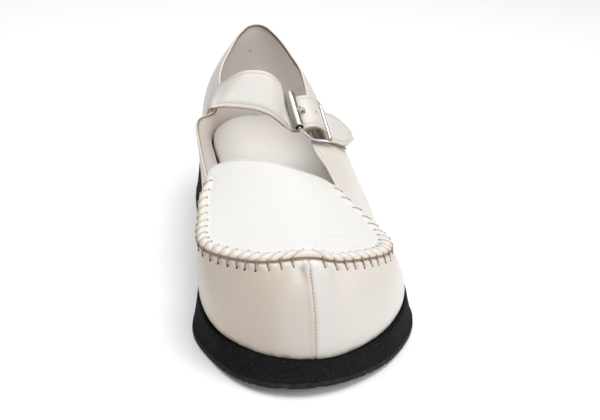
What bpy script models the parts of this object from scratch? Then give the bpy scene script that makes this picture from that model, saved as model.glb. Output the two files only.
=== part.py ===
"""Left shoe of a pair of women's Mary Janes with a hand-sewn apron toe, as solids.

Units are metres, +Z is up and the floor is Z = 0. The toe points to -Y and the wearer's
left, the lateral side of this left shoe, is +X. Tables are in millimetres in the last's
own axes, and MM turns them into metres. A place round the shoe is a turn in degrees:
0 at the toe, 90 at the lateral side, 180 at the heel and 270 at the medial side.
"""
from collections import namedtuple
from math import acos, cos, degrees, exp, pi, radians, sin

import bmesh
import bpy
import numpy as np
from mathutils import Matrix, Vector

MM = 0.001
COLLECTION = "mary_jane_left"

# ---------------------------------------------------------------- driving sizes, mm
SOLE_LENGTH = 272.0
SOLE_MID_Y = -2.5
FEATHER_LENGTH = 255.0
FEATHER_MID_Y = -3.5
WALL = 2.0              # leather and lining of the upper together
GAP = 0.3               # between pieces that are glued or sewn face to face
LEAN_CLEARANCE = 0.14   # more at the foot of a wall that leans in, for its thickness
OUTSOLE = 3.0
LEDGE = 2.2             # foam that shows as a step beyond the upper
LEDGE_CLOSING = 1.9     # less of it on both sides of the forefoot
OUTSOLE_END_TURNS = (5.0, 8.5, 12.0, 15.5, 19.0, 22.0)
INSOLE = 4.0
INSOLE_BEVEL = 0.8
INSOLE_INSET = 3.4      # from the feather line to the insole's edge
LUG_PITCH = 9.0
LUG_GROOVE = 1.6
LUG_DEPTH = 1.1
LUG_SPAN = (-126.0, 124.0)
GROOVE_WALL = 0.02      # run of a groove's steep sides

STRAP_WIDTH = 22.4     # in the buckle
STRAP_THICK = 1.8
TIP_NOSE = 0.28         # width left at the very tip, as a share
TIP_SHARE = 0.115       # of the strap's length that tapers to the tip
HOLE_RADIUS = 1.7
PUNCH_SEARCH = (0.3, 1.0, 701)  # places along the strap that are tried for a hole
PUNCH_STEP = 0.01
TAB_WIDTH = 17.0
TAB_THICK = 1.2
TAB_SEWN = (0.50, 0.60, 0.70, 0.80, 0.88)     # rows up the wall where it is sewn
TAB_TURNS = (95.0, 130.0, 351)                # turns that are tried for each place
SLOT_REACH = (-4.8, 4.2)                      # prong's slot, along the buckle's frame
PRONG_SLOT = 4.6

FRAME_LONG = 27.4       # between the axes of the two side arms
FRAME_ACROSS = 24.0     # between the roller's axis and the far bar's
FRAME_WIRE = 1.1        # radius
FRAME_SAG = 2.6         # the side arms dip in the middle, with the centre bar
FRAME_CORNER = 2.6
ARM_POINTS = 9
ROLLER_RADIUS = 2.9
ROLLER_BORE = 2.0
ROLLER_LONG = 24.0
ROLLER_SIDES = 24
PRONG_WIRE = 0.9
PRONG_SHANK = [(-4.4, 0.2), (-6.0, 1.6), (-7.2, 2.7), (-8.0, 3.1)]  # along, above the frame

COLUMNS = 108           # mesh columns round the shoe
WALL_ROWS = 8           # mesh rows up its wall
STRAP_ROWS = 72
THROAT_TURN = 80.0      # the apron's seam ends here, on both sides
CORNER_TURN = 130.0 / 3

# ---------------------------------------------------------------- tables, mm
Edge = namedtuple("Edge", "turn medial lateral")
SOLE_EDGE = (
    Edge(0, -9.5, -9.5),
    Edge(20, -31.4, 16.6),
    Edge(40, -46.4, 41.0),
    Edge(60, -54.0, 56.4),
    Edge(70, -48.8, 55.4),
    Edge(80, -42.6, 52.6),
    Edge(100, -40.5, 48.6),
    Edge(120, -42.5, 43.6),
    Edge(140, -39.5, 37.8),
    Edge(160, -26.0, 22.5),
    Edge(180, -2.5, -2.5),
)
FEATHER_EDGE = (
    Edge(0, -3.0, -3.0),
    Edge(20, -26.8, 18.0),
    Edge(40, -44.8, 39.2),
    Edge(50, -49.3, 47.4),
    Edge(60, -50.8, 52.4),
    Edge(80, -43.5, 49.8),
    Edge(100, -37.5, 44.8),
    Edge(120, -38.0, 39.2),
    Edge(140, -35.0, 33.6),
    Edge(160, -22.5, 19.2),
    Edge(180, -2.5, -2.5),
)

# Side of the foam unit, as shares of the way in to the ledge and up to it.
MIDSOLE_SIDE = ((0.0, 0.0), (0.22, 0.15), (0.44, 0.36), (0.72, 0.68), (0.9, 0.92), (1.0, 1.0))

Height = namedtuple("Height", "y z")
FOAM_TOP = (
    Height(-140, 14.5),
    Height(-100, 15.2),
    Height(-60, 17.5),
    Height(-20, 22.0),
    Height(20, 27.5),
    Height(60, 32.5),
    Height(100, 36.0),
    Height(140, 37.5),
)
GROUND = (
    Height(-140, 4.6),
    Height(-124, 2.3),
    Height(-104, 0.6),
    Height(-88, 0.0),
    Height(-20, 0.0),
    Height(-6, 0.5),
    Height(10, 1.9),
    Height(30, 2.9),
    Height(48, 1.6),
    Height(62, 0.2),
    Height(70, 0.0),
    Height(118, 0.0),
    Height(140, 1.2),
)

# Upper edge of the wall: the sewn ridge round the apron, then the collar.
Top = namedtuple("Top", "turn x y z")
TOP_LINE = (
    Top(0, -4.8, -114.0, 58.3),
    Top(20, 12.0, -115.0, 56.5),
    Top(40, 36.2, -100.2, 53.7),
    Top(50, 38.0, -87.5, 53.6),
    Top(60, 33.0, -71.5, 55.5),
    Top(80, 20.7, -42.0, 61.4),
    Top(90, 19.2, -16.0, 61.3),
    Top(100, 16.4, 10.0, 61.4),
    Top(110, 17.2, 33.0, 62.2),
    Top(120, 19.4, 57.0, 72.0),
    Top(130, 17.8, 73.5, 84.2),
    Top(140, 13.4, 86.5, 90.4),
    Top(160, 6.4, 110.0, 96.2),
    Top(170, 2.6, 119.6, 97.6),
    Top(180, -2.5, 123.0, 98.2),
    Top(190, -8.6, 120.4, 98.0),
    Top(200, -13.6, 112.2, 97.0),
    Top(220, -21.8, 89.8, 93.8),
    Top(240, -30.2, 64.0, 86.6),
    Top(250, -32.6, 45.5, 80.8),
    Top(255, -36.2, 32.5, 76.4),
    Top(262, -45.8, 23.4, 74.0),
    Top(270, -46.4, 3.0, 68.6),
    Top(280, -45.2, -31.5, 62.6),
    Top(290, -48.8, -47.5, 60.2),
    Top(300, -50.9, -66.0, 58.2),
    Top(320, -51.2, -96.0, 56.3),
    Top(340, -29.0, -113.2, 56.9),
)

# How far the wall swells beyond its foot, and how high that swell sits.
Swell = namedtuple("Swell", "turn out rise")
SWELL = (
    Swell(0, 1.0, 0.55),
    Swell(20, 1.5, 0.6),
    Swell(40, 3.0, 0.65),
    Swell(50, -0.2, 0.5),
    Swell(60, -3.0, 0.44),
    Swell(70, -4.6, 0.48),
    Swell(80, -6.4, 0.54),
    Swell(90, -3.0, 0.66),
    Swell(100, 0.8, 0.72),
    Swell(110, 4.2, 0.74),
    Swell(120, 3.0, 0.6),
    Swell(130, -2.6, 0.5),
    Swell(140, 0.0, 0.42),
    Swell(160, 5.0, 0.45),
    Swell(180, 6.5, 0.45),
    Swell(200, 5.5, 0.55),
    Swell(220, 6.0, 0.6),
    Swell(240, 8.0, 0.62),
    Swell(262, 7.0, 0.6),
    Swell(280, 4.0, 0.55),
    Swell(300, 1.2, 0.42),
    Swell(320, 6.0, 0.5),
    Swell(340, 1.5, 0.55),
)

# The apron's free edge across the instep, from the medial to the lateral ridge.
Point = namedtuple("Point", "x y z")
THROAT = (
    Point(-45.2, -31.5, 62.6),
    Point(-40.5, -20.0, 65.4),
    Point(-31.0, -19.8, 68.2),
    Point(-15.0, -25.8, 70.0),
    Point(3.0, -34.0, 67.6),
    Point(15.0, -36.8, 63.6),
    Point(20.7, -42.0, 61.4),
)

# Medial end of the strap, sewn to the outside of the quarter: how far up the wall each
# row sits, and the turns of its front and rear edges.
Sewn = namedtuple("Sewn", "up front_turn rear_turn")
STRAP_SEWN = (
    Sewn(0.80, 256.5, 248.5),
    Sewn(0.87, 256.5, 248.5),
    Sewn(0.94, 256.5, 248.5),
)
# Front and rear edges of the strap over the instep, up to the buckle.
Band = namedtuple("Band", "front_x front_y front_z rear_x rear_y rear_z")
STRAP_OPEN = (
    Band(-38.2, 30.4, 77.9, -32.0, 48.2, 84.9),
    Band(-35.0, 30.0, 78.6, -28.4, 46.8, 88.0),
    Band(-30.6, 29.2, 79.3, -23.7, 45.4, 91.6),
    Band(-24.8, 28.0, 79.3, -19.0, 44.6, 94.1),
    Band(-18.7, 26.6, 79.0, -14.4, 43.8, 95.0),
    Band(-12.8, 25.2, 78.3, -9.3, 42.6, 95.0),
    Band(-7.4, 23.6, 76.6, -5.0, 41.0, 94.0),
    Band(-2.8, 22.0, 74.0, -1.6, 39.6, 91.6),
    Band(1.0, 20.8, 70.8, 1.0, 38.4, 88.2),
)
# Inside the buckle: along its frame from the centre bar, and above its plane.
Weave = namedtuple("Weave", "along above")
STRAP_WEAVE = (
    Weave(-12.2, -4.75),
    Weave(-9.6, -3.9),
    Weave(-7.6, -1.2),
    Weave(-6.2, 1.4),
    Weave(-3.4, 3.7),
    Weave(0.0, 4.2),
    Weave(4.6, 3.0),
    Weave(8.6, -0.4),
    Weave(12.0, -2.4),
    Weave(18.0, -2.0),
    Weave(26.0, -1.6),
    Weave(34.5, -1.4),
)
STRAP_HOLES = (-12.2, -6.3, -0.4)    # along the frame, where the strap is pierced

BUCKLE_CENTRE = Vector((16.6, 29.8, 72.6))
BAR_AXIS = Vector((-0.13, 0.858, 0.498)).normalized()
FRAME_AXIS = Vector((0.798, 0.387, -0.457))
FRAME_AXIS = (FRAME_AXIS - FRAME_AXIS.dot(BAR_AXIS) * BAR_AXIS).normalized()
FRAME_NORMAL = FRAME_AXIS.cross(BAR_AXIS)

Finish = namedtuple("Finish", "red green blue roughness metallic")
IVORY_LEATHER = Finish(0.82, 0.80, 0.75, 0.42, 0.0)
PALE_INSOLE = Finish(0.70, 0.68, 0.65, 0.60, 0.0)
BLACK_FOAM = Finish(0.012, 0.012, 0.013, 0.85, 0.0)
BLACK_RUBBER = Finish(0.020, 0.020, 0.022, 0.70, 0.0)
POLISHED_STEEL = Finish(0.62, 0.60, 0.58, 0.18, 1.0)


# ---------------------------------------------------------------- curves
class Spline:
    """A smooth line through the rows of a table; with a period it closes on itself."""

    def __init__(self, knots, values, period=None):
        knots = np.asarray(knots, float)
        values = np.asarray(values, float)
        if period:
            knots = np.concatenate([knots[-2:] - period, knots, knots[:2] + period])
            values = np.concatenate([values[-2:], values, values[:2]])
        self.knots = knots
        self.values = values
        self.period = period
        self.slopes = self._slopes()

    def _slopes(self):
        steps = np.diff(self.knots)[:, None]
        chords = np.diff(self.values, axis=0) / steps
        inner = (chords[:-1] * steps[1:] + chords[1:] * steps[:-1]) / (steps[:-1] + steps[1:])
        return np.concatenate([chords[:1], inner, chords[-1:]])

    def at(self, place):
        if self.period:
            place = place % self.period
        left = int(np.clip(np.searchsorted(self.knots, place) - 1, 0, len(self.knots) - 2))
        width = self.knots[left + 1] - self.knots[left]
        t = (place - self.knots[left]) / width
        rise = 3 * t ** 2 - 2 * t ** 3
        leave = (t ** 3 - 2 * t ** 2 + t) * width
        reach = (t ** 3 - t ** 2) * width
        return (
            self.values[left] * (1 - rise)
            + self.values[left + 1] * rise
            + self.slopes[left] * leave
            + self.slopes[left + 1] * reach
        )


def loop_spline(rows):
    """Closed line through rows whose first column is the turn."""
    rows = np.asarray(rows, float)
    return Spline(rows[:, 0], rows[:, 1:], period=360)


def edge_spline(rows):
    """Closed line of x through a table that gives both sides of the shoe."""
    lateral = [(row.turn, row.lateral) for row in rows]
    medial = [(360 - row.turn, row.medial) for row in rows[-2:0:-1]]
    return loop_spline(lateral + medial)


def height_spline(rows):
    return Spline([row.y for row in rows], [[row.z] for row in rows])


def chord_spline(points):
    """Open line through points, read from 0 to 1 along its chords."""
    points = np.asarray(points, float)
    chords = np.linalg.norm(np.diff(points[:, :3], axis=0), axis=1)
    knots = np.concatenate([[0], np.cumsum(chords)]) / chords.sum()
    return Spline(knots, points)


SOLE_X = edge_spline(SOLE_EDGE)
FEATHER_X = edge_spline(FEATHER_EDGE)
FOAM_Z = height_spline(FOAM_TOP)
GROUND_Z = height_spline(GROUND)
TOP_XYZ = loop_spline(TOP_LINE)
SWELL_AT = loop_spline(SWELL)


# ---------------------------------------------------------------- the last's outlines
def sole_edge(turn):
    """Widest outline of the sole in plan."""
    return Vector((SOLE_X.at(turn)[0], SOLE_MID_Y - SOLE_LENGTH / 2 * cos(radians(turn)), 0))


def feather_edge(turn):
    """Line where the upper meets the sole, in plan."""
    y = FEATHER_MID_Y - FEATHER_LENGTH / 2 * cos(radians(turn))
    return Vector((FEATHER_X.at(turn)[0], y, 0))


def outward(edge, turn):
    """Unit normal of an outline in plan, away from the shoe."""
    step = edge(turn + 1) - edge(turn - 1)
    return Vector((step.y, -step.x, 0)).normalized()


def beyond(edge, turn, distance):
    return edge(turn) + outward(edge, turn) * distance


def foam_top(y):
    return FOAM_Z.at(y)[0]


def ground(y):
    return max(0.0, GROUND_Z.at(y)[0])


def on_height(point, height):
    return Vector((point.x, point.y, height(point.y)))


def wall_point(turn, up):
    """Outer face of the upper's wall, from its foot (up 0) to its top line (up 1)."""
    out, rise = SWELL_AT.at(turn)
    clear = GAP + LEAN_CLEARANCE * max(0, -out)
    foot = on_height(feather_edge(turn), lambda y: foam_top(y) + clear)
    top = Vector(TOP_XYZ.at(turn))
    swell = foot + outward(feather_edge, turn) * out
    swell.z += rise * (top.z - foot.z)
    return foot * (1 - up) ** 2 + swell * (2 * up * (1 - up)) + top * up ** 2


def above_wall(turn, up, lift):
    """A place just outside the upper's wall."""
    round_the_shoe = wall_point(turn + 1, up) - wall_point(turn - 1, up)
    upwards = wall_point(turn, up + 0.02) - wall_point(turn, up - 0.02)
    return wall_point(turn, up) + round_the_shoe.cross(upwards).normalized() * lift


def buckle_point(along, above, across=0.0):
    """A place in the buckle's own axes, from the middle of its frame."""
    offset = FRAME_AXIS * along + FRAME_NORMAL * above + BAR_AXIS * across
    return BUCKLE_CENTRE + offset


# ---------------------------------------------------------------- mesh helpers
def add_loft(bm, lines, closed):
    """Quads between successive lines of points; returns the lines of vertices."""
    grid = [[bm.verts.new(point * MM) for point in line] for line in lines]
    for near, far in zip(grid, grid[1:]):
        join_lines(bm, near, far, closed)
    return grid


def join_lines(bm, near, far, closed):
    count = len(near) if closed else len(near) - 1
    for i in range(count):
        j = (i + 1) % len(near)
        bm.faces.new((near[i], near[j], far[j], far[i]))


def close_with_rungs(bm, ring):
    """Fill a ring that runs toe, lateral, heel, medial with rungs across the shoe."""
    half = len(ring) // 2
    for i in range(half):
        a, b = ring[i], ring[i + 1]
        c, d = ring[(-i - 1) % len(ring)], ring[-i % len(ring)]
        corners = [v for k, v in enumerate((a, b, c, d)) if v not in (a, b, c, d)[:k]]
        bm.faces.new(corners)


def make_object(name, bm, finish):
    """Object with its own material, shaded smooth, in the shoe's collection."""
    bmesh.ops.recalc_face_normals(bm, faces=bm.faces)
    mesh = bpy.data.meshes.new(name)
    bm.to_mesh(mesh)
    bm.free()
    mesh.shade_smooth()
    mesh.set_sharp_from_angle(angle=radians(35))
    return place_object(bpy.data.objects.new(name, mesh), finish)


def place_object(obj, finish):
    bpy.data.collections[COLLECTION].objects.link(obj)
    obj.parent = bpy.data.objects["last_axes"]
    obj.data.materials.append(make_material(obj.name, finish))
    return obj


def make_material(name, finish):
    material = bpy.data.materials.new(name)
    material.use_nodes = True
    shader = material.node_tree.nodes["Principled BSDF"]
    shader.inputs["Base Color"].default_value = (finish.red, finish.green, finish.blue, 1)
    shader.inputs["Roughness"].default_value = finish.roughness
    shader.inputs["Metallic"].default_value = finish.metallic
    return material


def make_cutter(name, bm):
    mesh = bpy.data.meshes.new(name)
    bm.to_mesh(mesh)
    bm.free()
    cutter = bpy.data.objects.new(name, mesh)
    bpy.data.collections["cutters"].objects.link(cutter)
    cutter.parent = bpy.data.objects["last_axes"]
    cutter.hide_render = True
    cutter.display_type = "WIRE"
    return cutter


def add_boolean(obj, other, operation):
    modifier = obj.modifiers.new(f"{operation.lower()} {other.name}", "BOOLEAN")
    modifier.operation = operation
    modifier.solver = "EXACT"
    modifier.object = other


def add_solidify(obj, thickness, offset):
    modifier = obj.modifiers.new("thickness", "SOLIDIFY")
    modifier.thickness = thickness * MM
    modifier.offset = offset
    modifier.use_even_offset = True


def turns():
    return [360 * i / COLUMNS for i in range(COLUMNS)]


# ---------------------------------------------------------------- sole pieces
def make_outsole():
    """Thin rubber layer: toe spring, arch, and transverse lugs cut between the edges."""
    stations = outsole_stations()
    sections = []
    for y, groove in stations:
        turn = degrees(acos((SOLE_MID_Y - y) / (SOLE_LENGTH / 2)))
        medial, lateral = SOLE_X.at(360 - turn)[0], SOLE_X.at(turn)[0]
        low = ground(y) + groove
        high = ground(y) + OUTSOLE
        corners = ((medial, low), (lateral, low), (lateral, high), (medial, high))
        sections.append([Vector((x, y, z)) for x, z in corners])
    bm = bmesh.new()
    grid = add_loft(bm, sections, closed=True)
    for end in (grid[0], grid[-1]):
        bm.faces.new(end)
    return make_object("outsole", bm, BLACK_RUBBER)


def outsole_stations():
    """(y, groove depth) from toe to heel: round ends, then a step at each groove."""
    stations = []
    for turn in OUTSOLE_END_TURNS:
        stations.append((sole_edge(turn).y, 0.0))
        stations.append((sole_edge(180 - turn).y, 0.0))
    start, end = LUG_SPAN
    for k in range(int((end - start) // LUG_PITCH) + 1):
        y = start + k * LUG_PITCH
        far = y + LUG_GROOVE
        stations += [(y, 0.0), (y + GROOVE_WALL, LUG_DEPTH)]
        stations += [(far - GROOVE_WALL, LUG_DEPTH), (far, 0.0)]
    return sorted(stations)


def ledge(turn):
    """Width of the ledge: it nearly closes where the wall bulges at the forefoot."""
    side = abs((turn + 180) % 360 - 180)
    return LEDGE - LEDGE_CLOSING * exp(-((side - 63) / 15) ** 2)


def make_midsole():
    """Foam unit: flared sides with a rounded shoulder, sloping top, arch underneath."""
    rings = []
    for inward, up in MIDSOLE_SIDE:
        ring = []
        for turn in turns():
            low = on_height(sole_edge(turn), lambda y: ground(y) + OUTSOLE + GAP)
            high = on_height(beyond(feather_edge, turn, ledge(turn)), foam_top)
            point = low.lerp(high, inward)
            point.z = low.z + (high.z - low.z) * up
            ring.append(point)
        rings.append(ring)
    bm = bmesh.new()
    grid = add_loft(bm, rings, closed=True)
    close_with_rungs(bm, grid[0])
    close_with_rungs(bm, grid[-1])
    return make_object("midsole", bm, BLACK_FOAM)


def make_insole():
    """Footbed, a little smaller than the inside of the upper all round."""
    profile = (
        (INSOLE_INSET, 0),
        (INSOLE_INSET, INSOLE - INSOLE_BEVEL),
        (INSOLE_INSET + INSOLE_BEVEL, INSOLE),
    )
    rings = []
    for inset, up in profile:
        ring = []
        for turn in turns():
            point = beyond(feather_edge, turn, -inset)
            ring.append(on_height(point, lambda y: foam_top(y) + GAP + up))
        rings.append(ring)
    bm = bmesh.new()
    grid = add_loft(bm, rings, closed=True)
    close_with_rungs(bm, grid[0])
    close_with_rungs(bm, grid[-1])
    return make_object("insole", bm, PALE_INSOLE)


# ---------------------------------------------------------------- upper
def make_upper():
    """One shell: wall from the feather line to ridge and collar, and the apron."""
    ups = [row / WALL_ROWS for row in range(WALL_ROWS + 1)]
    wall = [[wall_point(turn, up) for turn in turns()] for up in ups]
    bm = bmesh.new()
    grid = add_loft(bm, wall, closed=True)
    add_apron(bm, grid[-1])
    upper = make_object("upper", bm, IVORY_LEATHER)
    add_solidify(upper, WALL, -1)
    return upper


def add_apron(bm, ridge):
    """Patch between the ridge and the throat, on the ridge's own vertices."""
    per_degree = COLUMNS / 360
    side = round((THROAT_TURN - CORNER_TURN) * per_degree)
    front = round(CORNER_TURN * per_degree)
    end = side + front
    medial = [ridge[-end + i] for i in range(side + 1)]
    across = [ridge[i] for i in range(-front, front + 1)]
    lateral = [ridge[end - i] for i in range(side + 1)]
    throat = chord_spline(THROAT)
    width = 2 * front
    lines = [[medial[0]] + [
        bm.verts.new(Vector(throat.at(i / width)) * MM) for i in range(1, width)
    ] + [lateral[0]]]
    for row in range(1, side):
        line = [medial[row]]
        for i in range(1, width):
            point = coons(lines[0], across, medial, lateral, i / width, row / side, i, row)
            line.append(bm.verts.new(point))
        lines.append(line + [lateral[row]])
    lines.append(across)
    for near, far in zip(lines, lines[1:]):
        join_lines(bm, near, far, closed=False)


def coons(back, front, left, right, s, t, i, j):
    """Point of the patch spanned by four edge lines of vertices."""
    between = back[i].co * (1 - t) + front[i].co * t + left[j].co * (1 - s) + right[j].co * s
    corners = (
        back[0].co * (1 - s) * (1 - t)
        + back[-1].co * s * (1 - t)
        + front[0].co * (1 - s) * t
        + front[-1].co * s * t
    )
    return between - corners


# ---------------------------------------------------------------- strap and tab
def strap_rows():
    """Centre of the strap and half its width as a vector, from its sewn end to its tip."""
    edges = []
    lift = 1.5 * GAP + STRAP_THICK / 2
    for row in STRAP_SEWN:
        edges.append([above_wall(turn, row.up, lift) for turn in (row.front_turn, row.rear_turn)])
    edges += [(Vector(row[:3]), Vector(row[3:])) for row in STRAP_OPEN]
    for row in STRAP_WEAVE:
        edges.append([buckle_point(*row, side * STRAP_WIDTH / 2) for side in (-1, 1)])
    return [(*((front + rear) / 2), *((rear - front) / 2)) for front, rear in edges]


def make_strap():
    """Instep strap as a ruled band with a blunt tip, pierced where the prong can go."""
    line = chord_spline(strap_rows())
    lines = []
    for i in range(STRAP_ROWS + 1):
        place = i / STRAP_ROWS
        row = line.at(place)
        centre, half = Vector(row[:3]), Vector(row[3:])
        taper = min(1, (1 - place) / TIP_SHARE)
        half *= TIP_NOSE + (1 - TIP_NOSE) * sin(pi / 2 * taper)
        lines.append([centre - half, centre, centre + half])
    bm = bmesh.new()
    add_loft(bm, lines, closed=False)
    strap = make_object("strap", bm, IVORY_LEATHER)
    add_solidify(strap, STRAP_THICK, 0)
    for number, along in enumerate(STRAP_HOLES):
        add_boolean(strap, strap_punch(number, along, line), "DIFFERENCE")
    return strap


def strap_punch(number, along, line):
    """Round cutter square to the strap where it passes this place in the buckle."""
    def centre(place):
        return Vector(line.at(place)[:3])

    def miss(place):
        return abs((centre(place) - BUCKLE_CENTRE).dot(FRAME_AXIS) - along)

    place = min(np.linspace(*PUNCH_SEARCH), key=miss)
    forward = centre(place + PUNCH_STEP) - centre(place - PUNCH_STEP)
    normal = forward.cross(Vector(line.at(place)[3:])).normalized()
    turn = normal.to_track_quat("Z", "Y").to_matrix().to_4x4()
    bm = bmesh.new()
    bmesh.ops.create_cone(
        bm, cap_ends=True, segments=16, radius1=HOLE_RADIUS * MM, radius2=HOLE_RADIUS * MM,
        depth=4 * STRAP_THICK * MM, matrix=Matrix.Translation(centre(place) * MM) @ turn,
    )
    return make_cutter(f"strap_punch_{number}", bm)


def make_tab():
    """Buckle tab: lies on the lateral quarter, rises to the centre bar and turns round it."""
    radius = FRAME_WIRE + GAP + TAB_THICK / 2
    bar = -FRAME_SAG
    under = bar - radius
    fold = [(radius * sin(a), bar + radius * cos(a)) for a in np.radians(range(0, -181, -20))]
    path = [(7.0, -4.9), (3.6, -2.2)] + fold + [(2.4, under - 0.1), (4.2, under - 0.4)]
    sides = np.linspace(-TAB_WIDTH / 2, TAB_WIDTH / 2, 5)
    lift = GAP + TAB_THICK / 2
    lines = [[above_wall(tab_turn(side, up), up, lift) for side in sides] for up in TAB_SEWN]
    lines += [[buckle_point(*place, side) for side in sides] for place in path]
    bm = bmesh.new()
    add_loft(bm, lines, closed=False)
    tab = make_object("buckle_tab", bm, IVORY_LEATHER)
    add_solidify(tab, TAB_THICK, 0)
    add_boolean(tab, prong_slot(), "DIFFERENCE")
    return tab


def tab_turn(side, up):
    """Turn whose wall point lies this far along the bar direction from the buckle."""
    def miss(turn):
        return abs((wall_point(turn, up) - BUCKLE_CENTRE).dot(BAR_AXIS) - side)

    return min(np.linspace(*TAB_TURNS), key=miss)


def prong_slot():
    """Slot through the tab's fold where the prong turns on the centre bar."""
    near, far = SLOT_REACH
    length = far - near
    bm = bmesh.new()
    bmesh.ops.create_cube(bm, size=1)
    axes = Matrix((FRAME_AXIS * length, BAR_AXIS * PRONG_SLOT, FRAME_NORMAL * 2 * length))
    centre = buckle_point((near + far) / 2, -FRAME_SAG)
    bm.transform(Matrix.Translation(centre * MM) @ (axes.transposed() * MM).to_4x4())
    bmesh.ops.recalc_face_normals(bm, faces=bm.faces)
    return make_cutter("prong_slot", bm)


# ---------------------------------------------------------------- buckle
def add_wire(name, points, radius, cyclic=False):
    """Round wire through points as a bevelled curve."""
    data = bpy.data.curves.new(name, "CURVE")
    data.dimensions = "3D"
    data.bevel_depth = radius * MM
    data.bevel_resolution = 2
    data.use_fill_caps = not cyclic
    spline = data.splines.new("POLY")
    spline.points.add(len(points) - 1)
    for spot, point in zip(spline.points, points):
        spot.co = (*(point * MM), 1)
    spline.use_cyclic_u = cyclic
    return bpy.data.objects.new(name, data)


def wire_mesh(name, curve):
    """The wire as a closed mesh, its caps welded on."""
    bpy.data.collections["cutters"].objects.link(curve)
    depsgraph = bpy.context.evaluated_depsgraph_get()
    mesh = bpy.data.meshes.new_from_object(curve.evaluated_get(depsgraph))
    bpy.data.objects.remove(curve)
    bm = bmesh.new()
    bm.from_mesh(mesh)
    bmesh.ops.remove_doubles(bm, verts=bm.verts, dist=0.00001)
    bpy.data.meshes.remove(mesh)
    return bm


def arm_height(along):
    """The side arms dip towards the foot between the two outer bars."""
    return -FRAME_SAG * cos(pi * along / FRAME_ACROSS) ** 2


def frame_outline():
    """Axis of the frame's wire: a rectangle with round corners and sagging arms."""
    half_across = FRAME_ACROSS / 2
    half_long = FRAME_LONG / 2
    points = []
    for corner in range(4):
        sx = (1, -1, -1, 1)[corner]
        sy = (1, 1, -1, -1)[corner]
        for step in range(4):
            angle = radians(90 * corner + 30 * step)
            along = sx * (half_across - FRAME_CORNER) + FRAME_CORNER * cos(angle)
            across = sy * (half_long - FRAME_CORNER) + FRAME_CORNER * sin(angle)
            points.append(buckle_point(along, arm_height(along), across))
        if corner in (0, 2):
            reach = half_across - FRAME_CORNER
            for along in np.linspace(sx * reach, -sx * reach, ARM_POINTS)[1:-1]:
                points.append(buckle_point(along, arm_height(along), sy * half_long))
    return points


def make_frame():
    """Rectangular wire frame with its centre bar."""
    outline = wire_mesh("frame_wire", add_wire("frame_wire", frame_outline(), FRAME_WIRE, True))
    frame = make_object("buckle_frame", outline, POLISHED_STEEL)
    half_long = FRAME_LONG / 2
    ends = [buckle_point(0, -FRAME_SAG, side) for side in (-half_long, half_long)]
    bar = wire_mesh("centre_bar", add_wire("centre_bar", ends, FRAME_WIRE * 0.9))
    add_boolean(frame, make_cutter("centre_bar", bar), "UNION")
    return frame


def make_roller():
    """Tube that turns on the frame's near bar."""
    profile = (
        (ROLLER_RADIUS, ROLLER_LONG / 2), (ROLLER_RADIUS, -ROLLER_LONG / 2),
        (ROLLER_BORE, -ROLLER_LONG / 2), (ROLLER_BORE, ROLLER_LONG / 2),
    )
    bm = bmesh.new()
    corners = [bm.verts.new((x * MM, 0, z * MM)) for x, z in profile]
    for i in range(4):
        bm.edges.new((corners[i], corners[(i + 1) % 4]))
    mesh = bpy.data.meshes.new("buckle_roller")
    bm.to_mesh(mesh)
    bm.free()
    roller = place_object(bpy.data.objects.new("buckle_roller", mesh), POLISHED_STEEL)
    roller.location = buckle_point(-FRAME_ACROSS / 2, 0) * MM
    roller.rotation_euler = BAR_AXIS.to_track_quat("Z", "Y").to_euler()
    screw = roller.modifiers.new("turned", "SCREW")
    screw.steps = ROLLER_SIDES
    screw.render_steps = ROLLER_SIDES
    screw.use_merge_vertices = True
    screw.merge_threshold = 0.00001
    return roller


def make_prong():
    """Prong: an eye round the centre bar, then a shank up through the strap's hole."""
    radius = FRAME_WIRE + GAP + PRONG_WIRE
    angles = np.radians(range(215, -26, -24))
    eye = [(radius * sin(a), -FRAME_SAG + radius * cos(a)) for a in angles]
    points = [buckle_point(along, above) for along, above in eye + PRONG_SHANK]
    wire = wire_mesh("prong_wire", add_wire("prong_wire", points, PRONG_WIRE))
    return make_object("buckle_prong", wire, POLISHED_STEEL)


# ---------------------------------------------------------------- assembly
def clear_scene():
    for obj in list(bpy.data.objects):
        bpy.data.objects.remove(obj)
    for name in (COLLECTION, "cutters"):
        bpy.context.scene.collection.children.link(bpy.data.collections.new(name))


def add_last_axes():
    """Empty that carries every piece, so that the sole's box is centred on the origin."""
    axes = bpy.data.objects.new("last_axes", None)
    bpy.data.collections[COLLECTION].objects.link(axes)
    edge = [sole_edge(turn / 4) for turn in range(1440)]
    middle_x = (min(p.x for p in edge) + max(p.x for p in edge)) / 2
    axes.location = Vector((-middle_x, -SOLE_MID_Y, 0)) * MM


def main():
    clear_scene()
    add_last_axes()
    make_outsole()
    make_midsole()
    make_upper()
    make_insole()
    make_strap()
    make_tab()
    make_frame()
    make_roller()
    make_prong()


main()
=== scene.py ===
"""Finish of a left Mary Jane shoe with a hand-sewn apron toe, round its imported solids.

Every shape is worked out in the last's own axes in millimetres: +X is the lateral side,
-Y the toe and +Z up. Blank.make() turns them into the frame's metres. A place round the
shoe is a turn in degrees: 0 at the toe, 90 lateral, 180 heel and 270 medial. Round the
apron the turn runs from -80 on the medial side to 80 on the lateral side.
"""
from collections import namedtuple
from math import cos, inf, pi, radians, sin
from random import Random

import bmesh
import bpy
import numpy as np
from bpy.props import FloatProperty, FloatVectorProperty, PointerProperty
from mathutils import Euler, Matrix, Vector
from mathutils.bvhtree import BVHTree
from mathutils.kdtree import KDTree


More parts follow.
